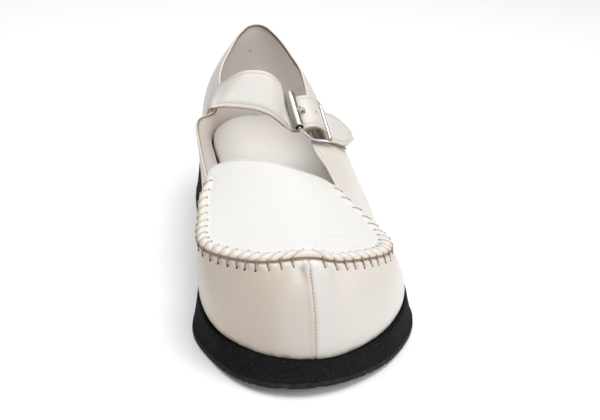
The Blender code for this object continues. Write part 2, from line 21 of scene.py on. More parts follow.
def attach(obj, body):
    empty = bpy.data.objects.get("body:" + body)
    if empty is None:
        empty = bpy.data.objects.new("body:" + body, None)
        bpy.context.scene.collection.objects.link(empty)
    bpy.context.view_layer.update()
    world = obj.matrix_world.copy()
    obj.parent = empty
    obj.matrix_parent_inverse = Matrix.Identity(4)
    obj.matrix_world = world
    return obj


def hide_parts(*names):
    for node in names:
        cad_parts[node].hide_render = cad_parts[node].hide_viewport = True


bl_info = {
    "name": "Mary Jane with a sewn apron toe",
    "version": (1, 0, 0),
    "blender": (4, 5, 0),
    "location": "3D View > Sidebar > Shoe",
    "description": "Leather, stitches, sole and buckle of one left shoe",
    "category": "Add Mesh",
}

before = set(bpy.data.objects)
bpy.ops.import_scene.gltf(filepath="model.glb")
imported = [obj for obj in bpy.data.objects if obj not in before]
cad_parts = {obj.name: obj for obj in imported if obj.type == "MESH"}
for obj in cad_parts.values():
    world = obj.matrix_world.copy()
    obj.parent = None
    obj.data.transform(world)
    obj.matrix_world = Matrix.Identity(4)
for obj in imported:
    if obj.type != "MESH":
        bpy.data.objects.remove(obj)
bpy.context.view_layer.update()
MM = 0.001


def table(columns, *rows):
    """Rows of a short table, with each number under its column's name."""
    row = namedtuple("Row", columns)
    return tuple(row(*values) for values in rows)


# ---------------------------------------------------------------- sizes of the last, mm
SOLE_LENGTH = 272.0
SOLE_MID_Y = -2.5
FEATHER_LENGTH = 255.0
FEATHER_MID_Y = -3.5
GAP = 0.3
LEAN_CLEARANCE = 0.14
OUTSOLE = 3.0
LEDGE = 2.2
LEDGE_CLOSING = 1.9
LEDGE_CLOSED_AT = 63.0      # turn, on both sides
LEDGE_CLOSED_REACH = 15.0
INSOLE = 4.0
STRAP_WIDTH = 22.4
STRAP_THICK = 1.8
STRAP_CROWN = 0.35
EDGE_CROWDING = 0.86        # 0 spaces the strap's columns evenly, 1 crowds them at its edges
TIP_NOSE = 0.28
TIP_SHARE = 0.115
TAB_WIDTH = 17.0
TAB_THICK = 1.2
TAB_SEWN = (0.50, 0.60, 0.70, 0.80, 0.88)   # heights on the wall, from 0 to 1
TAB_RISE = ((7.0, -4.9), (3.6, -2.2))       # then up to the bar, in the buckle's axes
FRAME_LONG = 27.4
FRAME_ACROSS = 24.0
FRAME_WIRE = 1.1
FRAME_SAG = 2.6
FRAME_CORNER = 2.6
ROLLER_RADIUS = 2.9
ROLLER_BORE = 2.0
ROLLER_LONG = 24.0
THROAT_TURN = 80.0
CORNER_TURN = 130.0 / 3

# Widest outline of the sole, and the upper's foot inside it: x of both sides by turn.
SOLE_EDGE = table(
    "turn medial lateral",
    (0, -9.5, -9.5), (20, -31.4, 16.6), (40, -46.4, 41.0), (60, -54.0, 56.4),
    (70, -48.8, 55.4), (80, -42.6, 52.6), (100, -40.5, 48.6), (120, -42.5, 43.6),
    (140, -39.5, 37.8), (160, -26.0, 22.5), (180, -2.5, -2.5),
)
FEATHER_EDGE = table(
    "turn medial lateral",
    (0, -3.0, -3.0), (20, -26.8, 18.0), (40, -44.8, 39.2), (50, -49.3, 47.4),
    (60, -50.8, 52.4), (80, -43.5, 49.8), (100, -37.5, 44.8), (120, -38.0, 39.2),
    (140, -35.0, 33.6), (160, -22.5, 19.2), (180, -2.5, -2.5),
)

# Height of the foam unit's top, and of the tread's underside, along the shoe.
FOAM_TOP = table(
    "y z",
    (-140, 14.5), (-100, 15.2), (-60, 17.5), (-20, 22.0), (20, 27.5), (60, 32.5),
    (100, 36.0), (140, 37.5),
)
GROUND = table(
    "y z",
    (-140, 4.6), (-124, 2.3), (-104, 0.6), (-88, 0.0), (-20, 0.0), (-6, 0.5), (10, 1.9),
    (30, 2.9), (48, 1.6), (62, 0.2), (70, 0.0), (118, 0.0), (140, 1.2),
)

# The wall's top line: apron seam in front, then the collar round the heel.
TOP_LINE = table(
    "turn x y z",
    (0, -4.8, -114.0, 58.3), (20, 12.0, -115.0, 56.5), (40, 36.2, -100.2, 53.7),
    (50, 38.0, -87.5, 53.6), (60, 33.0, -71.5, 55.5), (80, 20.7, -42.0, 61.4),
    (90, 19.2, -16.0, 61.3), (100, 16.4, 10.0, 61.4), (110, 17.2, 33.0, 62.2),
    (120, 19.4, 57.0, 72.0), (130, 17.8, 73.5, 84.2), (140, 13.4, 86.5, 90.4),
    (160, 6.4, 110.0, 96.2), (170, 2.6, 119.6, 97.6), (180, -2.5, 123.0, 98.2),
    (190, -8.6, 120.4, 98.0), (200, -13.6, 112.2, 97.0), (220, -21.8, 89.8, 93.8),
    (240, -30.2, 64.0, 86.6), (250, -32.6, 45.5, 80.8), (255, -36.2, 32.5, 76.4),
    (262, -45.8, 23.4, 74.0), (270, -46.4, 3.0, 68.6), (280, -45.2, -31.5, 62.6),
    (290, -48.8, -47.5, 60.2), (300, -50.9, -66.0, 58.2), (320, -51.2, -96.0, 56.3),
    (340, -29.0, -113.2, 56.9),
)

# How far the wall bulges past its foot, and how high up, as a share of its height.
SWELL = table(
    "turn out rise",
    (0, 1.0, 0.55), (20, 1.5, 0.6), (40, 3.0, 0.65), (50, -0.2, 0.5), (60, -3.0, 0.44),
    (70, -4.6, 0.48), (80, -6.4, 0.54), (90, -3.0, 0.66), (100, 0.8, 0.72),
    (110, 4.2, 0.74), (120, 3.0, 0.6), (130, -2.6, 0.5), (140, 0.0, 0.42), (160, 5.0, 0.45),
    (180, 6.5, 0.45), (200, 5.5, 0.55), (220, 6.0, 0.6), (240, 8.0, 0.62), (262, 7.0, 0.6),
    (280, 4.0, 0.55), (300, 1.2, 0.42), (320, 6.0, 0.5), (340, 1.5, 0.55),
)

# The apron's free edge, from the medial to the lateral side.
THROAT = table(
    "x y z",
    (-45.2, -31.5, 62.6), (-40.5, -20.0, 65.4), (-31.0, -19.8, 68.2), (-15.0, -25.8, 70.0),
    (3.0, -34.0, 67.6), (15.0, -36.8, 63.6), (20.7, -42.0, 61.4),
)

# Strap: its end sewn to the wall, its free run over the instep by both edges, and its way
# through the buckle, in the buckle's own axes.
STRAP_SEWN = table(
    "up front_turn rear_turn",
    (0.80, 256.5, 248.5), (0.87, 256.5, 248.5), (0.94, 256.5, 248.5),
)
STRAP_OPEN = table(
    "front_x front_y front_z rear_x rear_y rear_z",
    (-38.2, 30.4, 77.9, -32.0, 48.2, 84.9),
    (-35.0, 30.0, 78.6, -28.4, 46.8, 88.0),
    (-30.6, 29.2, 79.3, -23.7, 45.4, 91.6),
    (-24.8, 28.0, 79.3, -19.0, 44.6, 94.1),
    (-18.7, 26.6, 79.0, -14.4, 43.8, 95.0),
    (-12.8, 25.2, 78.3, -9.3, 42.6, 95.0),
    (-7.4, 23.6, 76.6, -5.0, 41.0, 94.0),
    (-2.8, 22.0, 74.0, -1.6, 39.6, 91.6),
    (1.0, 20.8, 70.8, 1.0, 38.4, 88.2),
)
STRAP_WEAVE = table(
    "along above",
    (-12.2, -4.75), (-9.6, -3.9), (-7.6, -1.2), (-6.2, 1.4), (-3.4, 3.7), (0.0, 4.2),
    (4.6, 3.0), (8.6, -0.4), (12.0, -2.4), (18.0, -2.0), (26.0, -1.6), (34.5, -1.4),
)

# ---------------------------------------------------------------- sizes of the finish, mm
# Round the apron: height and width of the gathered roll, thickness of the cut edge, how
# far each stitch leans along the seam for each mm that it goes in, stitch spacing, and
# depth of the lower holes under the seam.
RIDGE = table(
    "turn roll band edge slant pitch depth",
    (-80, 0.5, 3.0, 0.5, -1.0, 10.0, 2.6),
    (-66, 0.9, 4.1, 0.8, -1.0, 8.2, 3.0),
    (-52, 1.2, 4.8, 0.9, -0.9, 6.4, 3.2),
    (-40, 1.4, 5.8, 0.9, -0.5, 5.4, 3.0),
    (-30, 1.5, 7.4, 0.9, 0.1, 4.7, 3.0),
    (-20, 1.5, 7.0, 1.0, 0.8, 4.9, 3.2),
    (-3, 1.5, 6.2, 1.2, 0.9, 5.6, 2.8),
    (3, 1.5, 6.2, 1.2, -0.7, 5.3, 2.8),
    (20, 1.5, 6.2, 0.9, -0.7, 4.7, 3.2),
    (32, 1.5, 6.6, 0.9, -0.3, 4.4, 3.0),
    (42, 1.3, 6.2, 0.9, 0.3, 4.6, 2.8),
    (50, 0.9, 5.0, 0.7, 0.8, 6.2, 2.6),
    (60, 0.45, 3.4, 0.4, 1.1, 8.2, 2.0),
    (80, 0.3, 3.2, 0.25, 1.2, 8.6, 1.8),
)
SEAM_CLEAR = 7.2        # from the front seam to the first stitch on each side
SLANT_EASE = 0.85       # share of the slant that the drawn-in cord keeps
SPACING_SEED = 12
CORD_SEED = 5

# Soft troughs on the apron: both ends in plan, width and depth.
APRON_CREASES = table(
    "x0 y0 x1 y1 width depth",
    (-22, -98, 26, -97, 2.2, 0.16),
    (-12, -92, 22, -90, 2.6, 0.14),
    (-30, -88, -4, -86, 2.8, 0.12),
    (4, -83, 28, -84, 2.8, 0.12),
    (-38, -78, -12, -80, 3.4, 0.10),
)

# Whip-stitch cord, from its upper hole to its lower one: share of the way from the seam to
# the hole, and how far the cord's middle stands off the leather.
CORD_ON_APRON = table(
    "share lift",
    (1.0, -0.5), (0.92, -0.12), (0.8, 0.1), (0.62, 0.2), (0.44, 0.22), (0.28, 0.24),
    (0.15, 0.28),
)
CORD_ON_WALL = table("share lift", (0.42, 0.24), (0.66, 0.16), (0.84, 0.0), (0.95, -0.6))
CORD_AT_EDGE = 0.36     # the same lift round the apron's cut edge
CORD_SIDES = 8
UPPER_HOLE = 0.42       # size of the hole in the apron against the one in the wall
DASHES = (50, 57)       # turns between which the stitches shrink to short dashes

# Relief of the wall's leather: heights of its swellings, and depths of its hollows.
RIM_FALL = 0.75         # where the wall goes in under the seam
GATHER_RISE = 0.42      # between two stitches
STITCH_DIMPLE = 0.45    # round each lower hole
LOW_PUCKER = 0.07       # below each lower hole
KEEL_RISE = 0.95        # along the toe's seam
KEEL_REACH = 7.0
ROW_CHANNEL = 0.20      # under a row of machine stitches
FOOT_TUCK = 0.45        # along the foam's edge
WORN_WAVES = 0.10

# Relief of the apron's leather, likewise.
ROLL_GATHER = 0.62      # share of the roll's height that is gathered
ROLL_DITCH = 0.16       # behind the roll
THROAT_CHANNEL = 0.18
THROAT_FALL = 0.25
APRON_WAVES = 0.12

# Soft spots round the toe's seam: places from the seam and from the rim, reach each way,
# and height or strength. inf reaches all the way down.
TOE_DENTS = table(
    "side width down length strength",
    (0, 0.55, 0, inf, -0.45),
    (-1.5, 0.8, 0, inf, 0.22),
    (-4.4, 2.6, 6.5, 4.6, -1.0),
    (3.4, 2.6, 5.0, 4.0, 0.4),
)
# Darker patches round the toe's seam, by the same columns: painted shade in the dent beside
# the seam's top and round it, and a line down the seam itself.
TOE_DARKENING = table(
    "side width down length strength",
    (-3.3, 1.2, 5.2, 1.3, 0.75),
    (-3.0, 3.0, 7.5, 4.0, 0.22),
    (0, 0.4, 0, inf, 0.35),
)
SEAM_LEAN = 0.02        # sideways for each mm down the toe's seam

# Side of the foam unit: shares of the way in and up, from the sole's edge to the upper.
FOAM_SIDE = table(
    "inward up",
    (0.03, 0), (0, 0.04), (0.19, 0.15), (0.42, 0.36), (0.70, 0.68), (0.88, 0.90),
    (1.0, 0.975), (1.25, 1.0), (1.7, 0.985),
)

# Tread, along the shoe: first and last groove, spacing, depth, the two fine cuts after each
# groove and their depth, and where the rows of points lie from the start of each groove.
GROOVE_START = -126.0
GROOVE_END = 124.0
GROOVE_PITCH = 9.0
GROOVE_DEPTH = 1.1
FINE_CUTS = (4.0, 6.6)
FINE_DEPTH = 0.55
GROOVE_ROWS = (-0.06, 0.0, 0.2, 1.4, 1.6, 1.66, 3.5, 4.0, 4.5, 6.1, 6.6, 7.1)

# Machine stitches: pitch, length of a stitch, thickness of the thread against the usual
# one, and how dirty it is.
THROAT_STITCH, TOE_STITCH, STRAP_STITCH = table(
    "pitch length thick low",
    (1.6, 1.1, 0.85, 0.0), (1.7, 1.25, 1.5, 0.6), (1.5, 1.0, 0.95, 0.0),
)
COLLAR_STITCH = 0.66    # length of a stitch in shares of its pitch

# Prong, from its eye to its tip on the roller.
PRONG_SHANK = table(
    "along above",
    (-4.4, 0.2), (-5.2, 0.9), (-6.0, 1.7), (-7.1, 2.8), (-8.4, 3.2), (-9.8, 3.1),
    (-11.0, 3.55),
)
PRONG_RADIUS = 0.9

# How far the insole stays in on the medial side, and how the lining follows it.
INSET = 3.6
WAIST_INSET = 5.6
WAIST_Y = 40.0
WAIST_REACH = 40.0
COVE_SHARE = 0.75
COVE_START = 1.87

LEATHER = 1.4           # outer leather of the wall, folded over at the collar
LINING_OUT = 1.46       # lining's two faces, in from the wall's outer face
LINING_IN = 2.02
APRON_THICK = 1.1
COLLAR_CUT = 1.55       # height of the dark cut edge inside the collar
EDGE_ROW = 2.2          # from an edge to its row of stitches
THROAT_ROW = 1.1        # the same at the throat

# The heel's small hole is shown by a dark disc of painted shade.
HEEL_HOLE = (-5.2, 118.7, 80.4)     # small hole through the heel's lining

# Places of the strap's holes along the buckle, their radii, and how far they all lie from
# the strap's middle towards its front edge.
STRAP_HOLES = ((-12.2, 0.7), (-6.3, 1.4), (-0.4, 0.7))
HOLES_FORWARD = 0.7

BUCKLE_CENTRE = np.array((16.6, 29.8, 72.6))


def unit(vector):
    """Vectors along the last axis, each brought to length 1."""
    vector = np.asarray(vector, float)
    return vector / np.maximum(np.linalg.norm(vector, axis=-1, keepdims=True), 1e-9)


def run_along(path):
    """Length along a path, up to each of its points."""
    steps = np.linalg.norm(np.diff(path, axis=0), axis=1)
    return np.concatenate([[0], np.cumsum(steps)])


def read_at(places, run, values):
    """Values of a path with its run along it, read at other places."""
    return np.stack([np.interp(places, run, column) for column in np.transpose(values)], -1)


BAR_AXIS = unit((-0.13, 0.858, 0.498))
FRAME_AXIS = np.array((0.798, 0.387, -0.457))
FRAME_AXIS = unit(FRAME_AXIS - FRAME_AXIS.dot(BAR_AXIS) * BAR_AXIS)
FRAME_NORMAL = np.cross(FRAME_AXIS, BAR_AXIS)


# ---------------------------------------------------------------- lines
class Spline:
    """A smooth line through the rows of a table, read at many places at once."""

    def __init__(self, knots, values, period=None):
        knots, values = np.asarray(knots, float), np.asarray(values, float)
        if period:
            knots = np.concatenate([knots[-2:] - period, knots, knots[:2] + period])
            values = np.concatenate([values[-2:], values, values[:2]])
        steps = np.diff(knots)[:, None]
        chords = np.diff(values, axis=0) / steps
        inner = (chords[:-1] * steps[1:] + chords[1:] * steps[:-1]) / (steps[:-1] + steps[1:])
        self.knots, self.values, self.period = knots, values, period
        self.slopes = np.concatenate([chords[:1], inner, chords[-1:]])

    def at(self, places):
        places = np.asarray(places, float)
        if self.period:
            places = places % self.period
        left = np.clip(np.searchsorted(self.knots, places) - 1, 0, len(self.knots) - 2)
        width = (self.knots[left + 1] - self.knots[left])[..., None]
        t = (places - self.knots[left])[..., None] / width
        rise = 3 * t ** 2 - 2 * t ** 3
        leave = (t ** 3 - 2 * t ** 2 + t) * width
        reach = (t ** 3 - t ** 2) * width
        return (
            self.values[left] * (1 - rise)
            + self.values[left + 1] * rise
            + self.slopes[left] * leave
            + self.slopes[left + 1] * reach
        )


def loop_spline(rows):
    """Closed line through rows that start with a turn."""
    rows = np.asarray(rows, float)
    return Spline(rows[:, 0], rows[:, 1:], period=360)


def edge_spline(rows):
    """Closed outline from a table of its medial and lateral places."""
    lateral = [(row.turn, row.lateral) for row in rows]
    medial = [(360 - row.turn, row.medial) for row in rows[-2:0:-1]]
    return loop_spline(lateral + medial)


def chord_spline(points):
    """Open line through points, read from 0 to 1 along its chords."""
    points = np.asarray(points, float)
    run = run_along(points[:, :3])
    return Spline(run / run[-1], points)


SOLE_X = edge_spline(SOLE_EDGE)
FEATHER_X = edge_spline(FEATHER_EDGE)
FOAM_Z = Spline([row.y for row in FOAM_TOP], [[row.z] for row in FOAM_TOP])
GROUND_Z = Spline([row.y for row in GROUND], [[row.z] for row in GROUND])
TOP_XYZ = loop_spline(TOP_LINE)
SWELL_AT = loop_spline(SWELL)
THROAT_XYZ = chord_spline(THROAT)
RIDGE_AT = Spline([row.turn for row in RIDGE], RIDGE)


def ridge(turn):
    """The sizes of the RIDGE table at any turn, by name."""
    return type(RIDGE[0])(*np.moveaxis(RIDGE_AT.at(np.clip(turn, -80, 80)), -1, 0))


def outline(edge_x, middle, length, turn):
    """Points in plan: x from a table, y round an ellipse of the given length."""
    turn = np.asarray(turn, float)
    y = middle - length / 2 * np.cos(np.radians(turn))
    return np.stack([edge_x.at(turn)[..., 0], y, np.zeros_like(y)], -1)


def sole_edge(turn):
    """Widest outline of the sole in plan."""
    return outline(SOLE_X, SOLE_MID_Y, SOLE_LENGTH, turn)


def feather_edge(turn):
    """Line where the upper meets the sole, in plan."""
    return outline(FEATHER_X, FEATHER_MID_Y, FEATHER_LENGTH, turn)


def outward(edge, turn):
    """Direction in plan away from an outline."""
    step = edge(turn + 1) - edge(turn - 1)
    return unit(np.stack([step[..., 1], -step[..., 0], np.zeros_like(step[..., 0])], -1))


def foam_top(y):
    return FOAM_Z.at(y)[..., 0]


def ground(y):
    return np.maximum(0.0, GROUND_Z.at(y)[..., 0])


def ledge(turn):
    """Width of the foam's ledge: it nearly closes where the wall bulges at the forefoot."""
    beyond = np.abs(signed(turn)) - LEDGE_CLOSED_AT
    return LEDGE - LEDGE_CLOSING * bell(beyond, LEDGE_CLOSED_REACH)


def lifted(points, heights):
    """The same points in plan, at other heights."""
    points = np.array(points, float)
    points[..., 2] = heights
    return points


def wall_point(turn, up):
    """The wall's outer face on the last, before the leather's own relief."""
    turn, up = np.broadcast_arrays(np.asarray(turn, float), np.asarray(up, float))
    out, rise = np.moveaxis(SWELL_AT.at(turn), -1, 0)
    foot = feather_edge(turn)
    foot[..., 2] = foam_top(foot[..., 1]) + GAP + LEAN_CLEARANCE * np.maximum(0, -out)
    top = TOP_XYZ.at(turn)
    swell = foot + outward(feather_edge, turn) * out[..., None]
    swell[..., 2] += rise * (top[..., 2] - foot[..., 2])
    up = up[..., None]
    return foot * (1 - up) ** 2 + swell * (2 * up * (1 - up)) + top * up ** 2


def from_rim(turn, up):
    """Straight distance of a place on the wall from the wall's top line."""
    return np.linalg.norm(wall_point(turn, 1.0) - wall_point(turn, up), axis=-1)


def from_foot(turn, up=1.0):
    """Straight distance of a place on the wall, such as its top, from the wall's foot."""
    return np.linalg.norm(wall_point(turn, 0.0) - wall_point(turn, up), axis=-1)


def wall_normal(turn, up):
    """Direction out of the wall's outer face."""
    round_the_shoe = wall_point(turn + 0.5, up) - wall_point(turn - 0.5, up)
    upwards = wall_point(turn, up + 0.01) - wall_point(turn, up - 0.01)
    return unit(np.cross(round_the_shoe, upwards))


def above_wall(turn, up, lift):
    """A place off the wall's outer face; a negative lift goes in."""
    return wall_point(turn, up) + wall_normal(turn, up) * lift


def buckle_point(along, above, across=0.0):
    """A place in the buckle's own axes, from the middle of its frame."""
    return BUCKLE_CENTRE + FRAME_AXIS * along + FRAME_NORMAL * above + BAR_AXIS * across


def last_shift():
    """How far the last's axes stand from the frame's, which centres the sole's box."""
    edge = sole_edge(np.arange(0, 360, 0.25))[:, 0]
    return np.array((-(edge.min() + edge.max()) / 2, -SOLE_MID_Y, 0))


SHIFT = last_shift()


def signed(turn):
    """A turn from -180 to 180."""
    return (np.asarray(turn, float) + 180) % 360 - 180


def smooth(x, low, high):
    """0 below low, 1 above high, and a soft step between them."""
    t = np.clip((np.asarray(x, float) - low) / (high - low), 0, 1)
    return t * t * (3 - 2 * t)


def window(x, rise, full, fade, end):
    """1 from full to fade, with soft steps that start at rise and end at end."""
    return smooth(x, rise, full) * (1 - smooth(x, fade, end))


def bell(x, width):
    """1 at 0, falling softly to 1/e at the width."""
    return np.exp(-(np.asarray(x, float) / width) ** 2)


# ---------------------------------------------------------------- the apron seam
class ApronSeam:
    """The sewn ridge from throat to throat, measured along its length from the toe."""

    def __init__(self):
        self.turns = np.linspace(-THROAT_TURN, THROAT_TURN, 2401)
        self.line = TOP_XYZ.at(self.turns)
        self.run = run_along(self.line)
        self.run -= np.interp(0.0, self.turns, self.run)
        self.stitches = self.spaced()
        self.tree = KDTree(len(self.line))
        for i, point in enumerate(self.line):
            self.tree.insert((point[0], point[1], 0), i)
        self.tree.balance()

    def spaced(self):
        """Places of the stitches, a little uneven, because they are sewn by hand."""
        dice = Random(SPACING_SEED)
        places = []
        for side in (-1, 1):
            place = side * SEAM_CLEAR
            while self.run[0] + 2 < place < self.run[-1] - 2:
                places.append(place)
                place += side * ridge(self.turn(place)).pitch * dice.uniform(0.93, 1.07)
        return np.array(sorted(places))

    def turn(self, run):
        return np.interp(run, self.run, self.turns)

    def run_at(self, turn):
        return np.interp(turn, self.turns, self.run)

    def near(self, points):
        """Distance in plan to the seam, and the run there, of each point."""
        found = [self.tree.find((x, y, 0)) for x, y, _ in points]
        index = np.array([i for _, i, _ in found])
        distance = np.array([d for _, _, d in found])
        return distance, self.run[index]

    def gather(self, run):
        """1 midway between two stitches and 0 at each of them."""
        index = np.interp(run, self.stitches, np.arange(len(self.stitches)))
        beyond = (run < self.stitches[0]) | (run > self.stitches[-1])
        return np.where(beyond, 0.3, np.sin(pi * (index % 1)) ** 0.75)

    def to_stitch(self, run):
        """Distance along the seam to the nearest stitch."""
        right = np.clip(np.searchsorted(self.stitches, run), 1, len(self.stitches) - 1)
        left = self.stitches[right - 1]
        return np.minimum(np.abs(run - left), np.abs(run - self.stitches[right]))

    def frame_at(self, run):
        """Point, direction along, and direction in over the apron, at one place."""
        turn = self.turn(run)
        here = TOP_XYZ.at(turn)
        along = unit(TOP_XYZ.at(turn + 0.5) - TOP_XYZ.at(turn - 0.5))
        inward = unit(np.cross((0, 0, 1), along))
        return here, along, inward


SEAM = ApronSeam()


def apron_share(turn):
    """1 where the wall is sewn to the apron, 0 along the collar."""
    return 1 - smooth(np.abs(signed(turn)), THROAT_TURN - 1.5, THROAT_TURN + 2.5)


# ---------------------------------------------------------------- relief of the leather
def wall_relief(turn, up):
    """How far the wall's leather stands off the last's surface."""
    turn, up = np.broadcast_arrays(signed(turn), up)
    run = SEAM.run_at(turn)
    down, foot = from_rim(turn, up), from_foot(turn, up)
    depth = ridge(turn).depth
    sewn = apron_share(turn)
    near = SEAM.to_stitch(run)
    relief = -RIM_FALL * bell(down, 1.0) * sewn
    relief += sewn * (GATHER_RISE * SEAM.gather(run) - 0.12) * bell(down - 2.2, 2.2)
    relief -= sewn * STITCH_DIMPLE * bell(near, 0.9) * bell(down - depth, 1.0)
    relief -= sewn * LOW_PUCKER * bell(near, 1.2) * bell(down - depth - 2.5, 2.4)
    # The two halves of the wall meet in a slight keel at the toe, with a pinch on top.
    side = run - SEAM_LEAN * down
    keel = KEEL_RISE * np.exp(-np.abs(side) / KEEL_REACH)
    keel *= smooth(down, 0, 5) * smooth(foot, 2, 20)
    relief += (keel + patches(TOE_DENTS, side, down)) * (1 - smooth(np.abs(run), 30, 40))
    # Collar: stitched in a shallow channel, so that the rim swells a little.
    collar = 1 - sewn
    relief -= collar * ROW_CHANNEL * bell(down - EDGE_ROW, 0.6)
    relief += collar * 0.10 * bell(down - 0.9, 0.8)
    # The leather is drawn in under the foam's edge.
    relief -= FOOT_TUCK * np.exp(-foot / 1.1)
    relief += slack(turn, down)
    return relief


def patches(rows, side, down):
    """Sum of the soft spots of a table."""
    return sum(row.strength * bell(side - row.side, row.width)
               * bell(down - row.down, row.length) for row in rows)


def slack(turn, down):
    """Slow, shallow waves of leather that has been worn."""
    a = np.radians(turn)
    wave = np.sin(5 * a + 0.09 * down) + 0.7 * np.sin(9 * a - 0.06 * down + 1.3)
    wave = wave + 0.5 * np.sin(14 * a + 0.13 * down + 0.4)
    return WORN_WAVES * wave * smooth(down, 2, 12)


def wall_skin(turn, up):
    """Outer face of the wall with its relief."""
    turn, up = np.broadcast_arrays(np.asarray(turn, float), np.asarray(up, float))
    return above_wall(turn, up, wall_relief(turn, up)[..., None])


def apron_base(across, ahead):
    """The apron's surface on the last: across 0 to 1, ahead 0 at the throat, 1 in front."""
    s, t = across[..., None], ahead[..., None]
    reach = THROAT_TURN - CORNER_TURN
    back = THROAT_XYZ.at(across)
    front = TOP_XYZ.at(CORNER_TURN * (2 * across - 1))
    left = TOP_XYZ.at(-THROAT_TURN + reach * ahead)
    right = TOP_XYZ.at(THROAT_TURN - reach * ahead)
    corners = sum(
        (TOP_XYZ.at(-turn) * (1 - s) + TOP_XYZ.at(turn) * s) * share
        for turn, share in ((THROAT_TURN, 1 - t), (CORNER_TURN, t))
    )
    return back * (1 - t) + front * t + left * (1 - s) + right * s - corners


def crease_depth(points, creases):
    """Sum of soft troughs between the ends that a table gives."""
    total = np.zeros(len(points))
    for row in creases:
        a, b = np.array((row.x0, row.y0)), np.array((row.x1, row.y1))
        length = np.linalg.norm(b - a)
        along = (b - a) / length
        offset = points[:, :2] - a
        run = offset @ along
        side = offset @ np.array((-along[1], along[0])) + 0.8 * np.sin(run / 7)
        ends = window(run, -2, 8, length - 8, length + 2)
        trough = bell(side, row.width) - 0.5 * bell(side - 3.2, row.width)
        total += row.depth * ends * trough
    return total


def apron_relief(points, distance, run):
    """Height of the apron's leather over the last, and the painted warm shade in the puckers
    that the stitches draw in.
    """
    size = ridge(SEAM.turn(run))
    width = 1.2 * size.band
    share = np.clip(distance / width, 0, 1)
    gather = SEAM.gather(run - size.slant * SLANT_EASE * np.minimum(distance, size.band))
    relief = size.edge / 2 * (1 - smooth(distance, 0, width))
    relief += size.roll * np.sin(pi * share ** 0.72)
    relief += size.roll * ROLL_GATHER * (gather - 0.55) * np.sin(pi * share ** 0.6)
    relief -= ROLL_DITCH * bell(distance - width, 1.6)
    back = throat_distance(points)
    relief -= THROAT_CHANNEL * bell(back - THROAT_ROW, 0.5) * smooth(distance, 2, 5)
    relief -= THROAT_FALL * np.exp(-back / 0.5)
    relief -= crease_depth(points, APRON_CREASES)
    waves = np.sin(points[:, 0] / 11) * np.sin(points[:, 1] / 13)
    relief += APRON_WAVES * waves * smooth(distance, 6, 14)
    # Painted warm shade in the pucker valleys at the stitches, and a little along the cut
    # edge.
    pull = (1 - gather) * (1 - smooth(distance, 0.7 * size.band, 1.25 * size.band))
    pull += 0.22 * bell(distance, 2.2) * smooth(size.edge, 0.5, 1.0)
    return relief, pull


THROAT_LINE = THROAT_XYZ.at(np.linspace(0, 1, 400)[::4])


def throat_distance(points):
    """Distance in plan to the apron's free edge."""
    offset = points[:, None, :2] - THROAT_LINE[None, :, :2]
    return np.sqrt((offset ** 2).sum(-1).min(1))


# ---------------------------------------------------------------- mesh helpers
def weave(rows, columns, round_rows=False, round_columns=False):
    """Quads of a grid of points, by index; either way may close on itself."""
    r = np.arange(rows if round_rows else rows - 1)
    c = np.arange(columns if round_columns else columns - 1)
    r, c = np.meshgrid(r, c, indexing="ij")
    r2, c2 = (r + 1) % rows, (c + 1) % columns
    quads = [r * columns + c, r * columns + c2, r2 * columns + c2, r2 * columns + c]
    return np.stack(quads, -1).reshape(-1, 4)


def grid_normals(grid):
    """Unit normals of a grid of points, columns crossed with rows."""
    return unit(np.cross(np.gradient(grid, axis=1), np.gradient(grid, axis=0)))


class Blank:
    """Points and faces of one piece while it is made, in the last's millimetres."""

    def __init__(self):
        self.points, self.faces, self.finishes, self.marks = [], [], [], []
        self.count = 0

    def add(self, points, faces, finish=0, **marks):
        points = np.asarray(points, float).reshape(-1, 3)
        self.points.append(points)
        self.faces += [tuple(int(i) + self.count for i in face) for face in faces]
        many = np.ones(len(faces), int)
        self.finishes.append(many * finish)
        self.marks.append((len(points), marks))
        self.count += len(points)

    def make(self, name, materials, slot, node=None, sharp=40.0):
        """The finished object, riding on the shoe's body."""
        points = (np.concatenate(self.points) + SHIFT) * MM
        mesh = bpy.data.meshes.new(name)
        mesh.from_pydata(points.tolist(), [], self.faces)
        mesh.polygons.foreach_set("material_index", np.concatenate(self.finishes))
        for mark in sorted({key for _, marks in self.marks for key in marks}):
            values = [np.broadcast_to(marks.get(mark, 0.0), n) for n, marks in self.marks]
            layer = mesh.attributes.new(mark, "FLOAT", "POINT")
            layer.data.foreach_set("value", np.concatenate(values).astype(np.float32))
        turn_outward(mesh)
        mesh.shade_smooth()
        mesh.set_sharp_from_angle(angle=radians(sharp))
        for material in materials:
            mesh.materials.append(material)
        piece = bpy.data.objects.new(name, mesh)
        bpy.context.scene.collection.objects.link(piece)
        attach(piece, "root")
        if node:
            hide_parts(node)
        return piece

    def tree(self):
        return BVHTree.FromPolygons(np.concatenate(self.points).tolist(), self.faces)


def turn_outward(mesh):
    """Turn every face's normal to the outside."""
    bm = bmesh.new()
    bm.from_mesh(mesh)
    bmesh.ops.recalc_face_normals(bm, faces=bm.faces)
    bm.to_mesh(mesh)
    bm.free()


def border(rows, columns):
    """Indices round a grid: along the first row, down, back, and up."""
    first = np.arange(columns)
    right = np.arange(1, rows) * columns + columns - 1
    last = (rows - 1) * columns + np.arange(columns - 2, -1, -1)
    left = np.arange(rows - 2, 0, -1) * columns
    return np.concatenate([first, right, last, left])


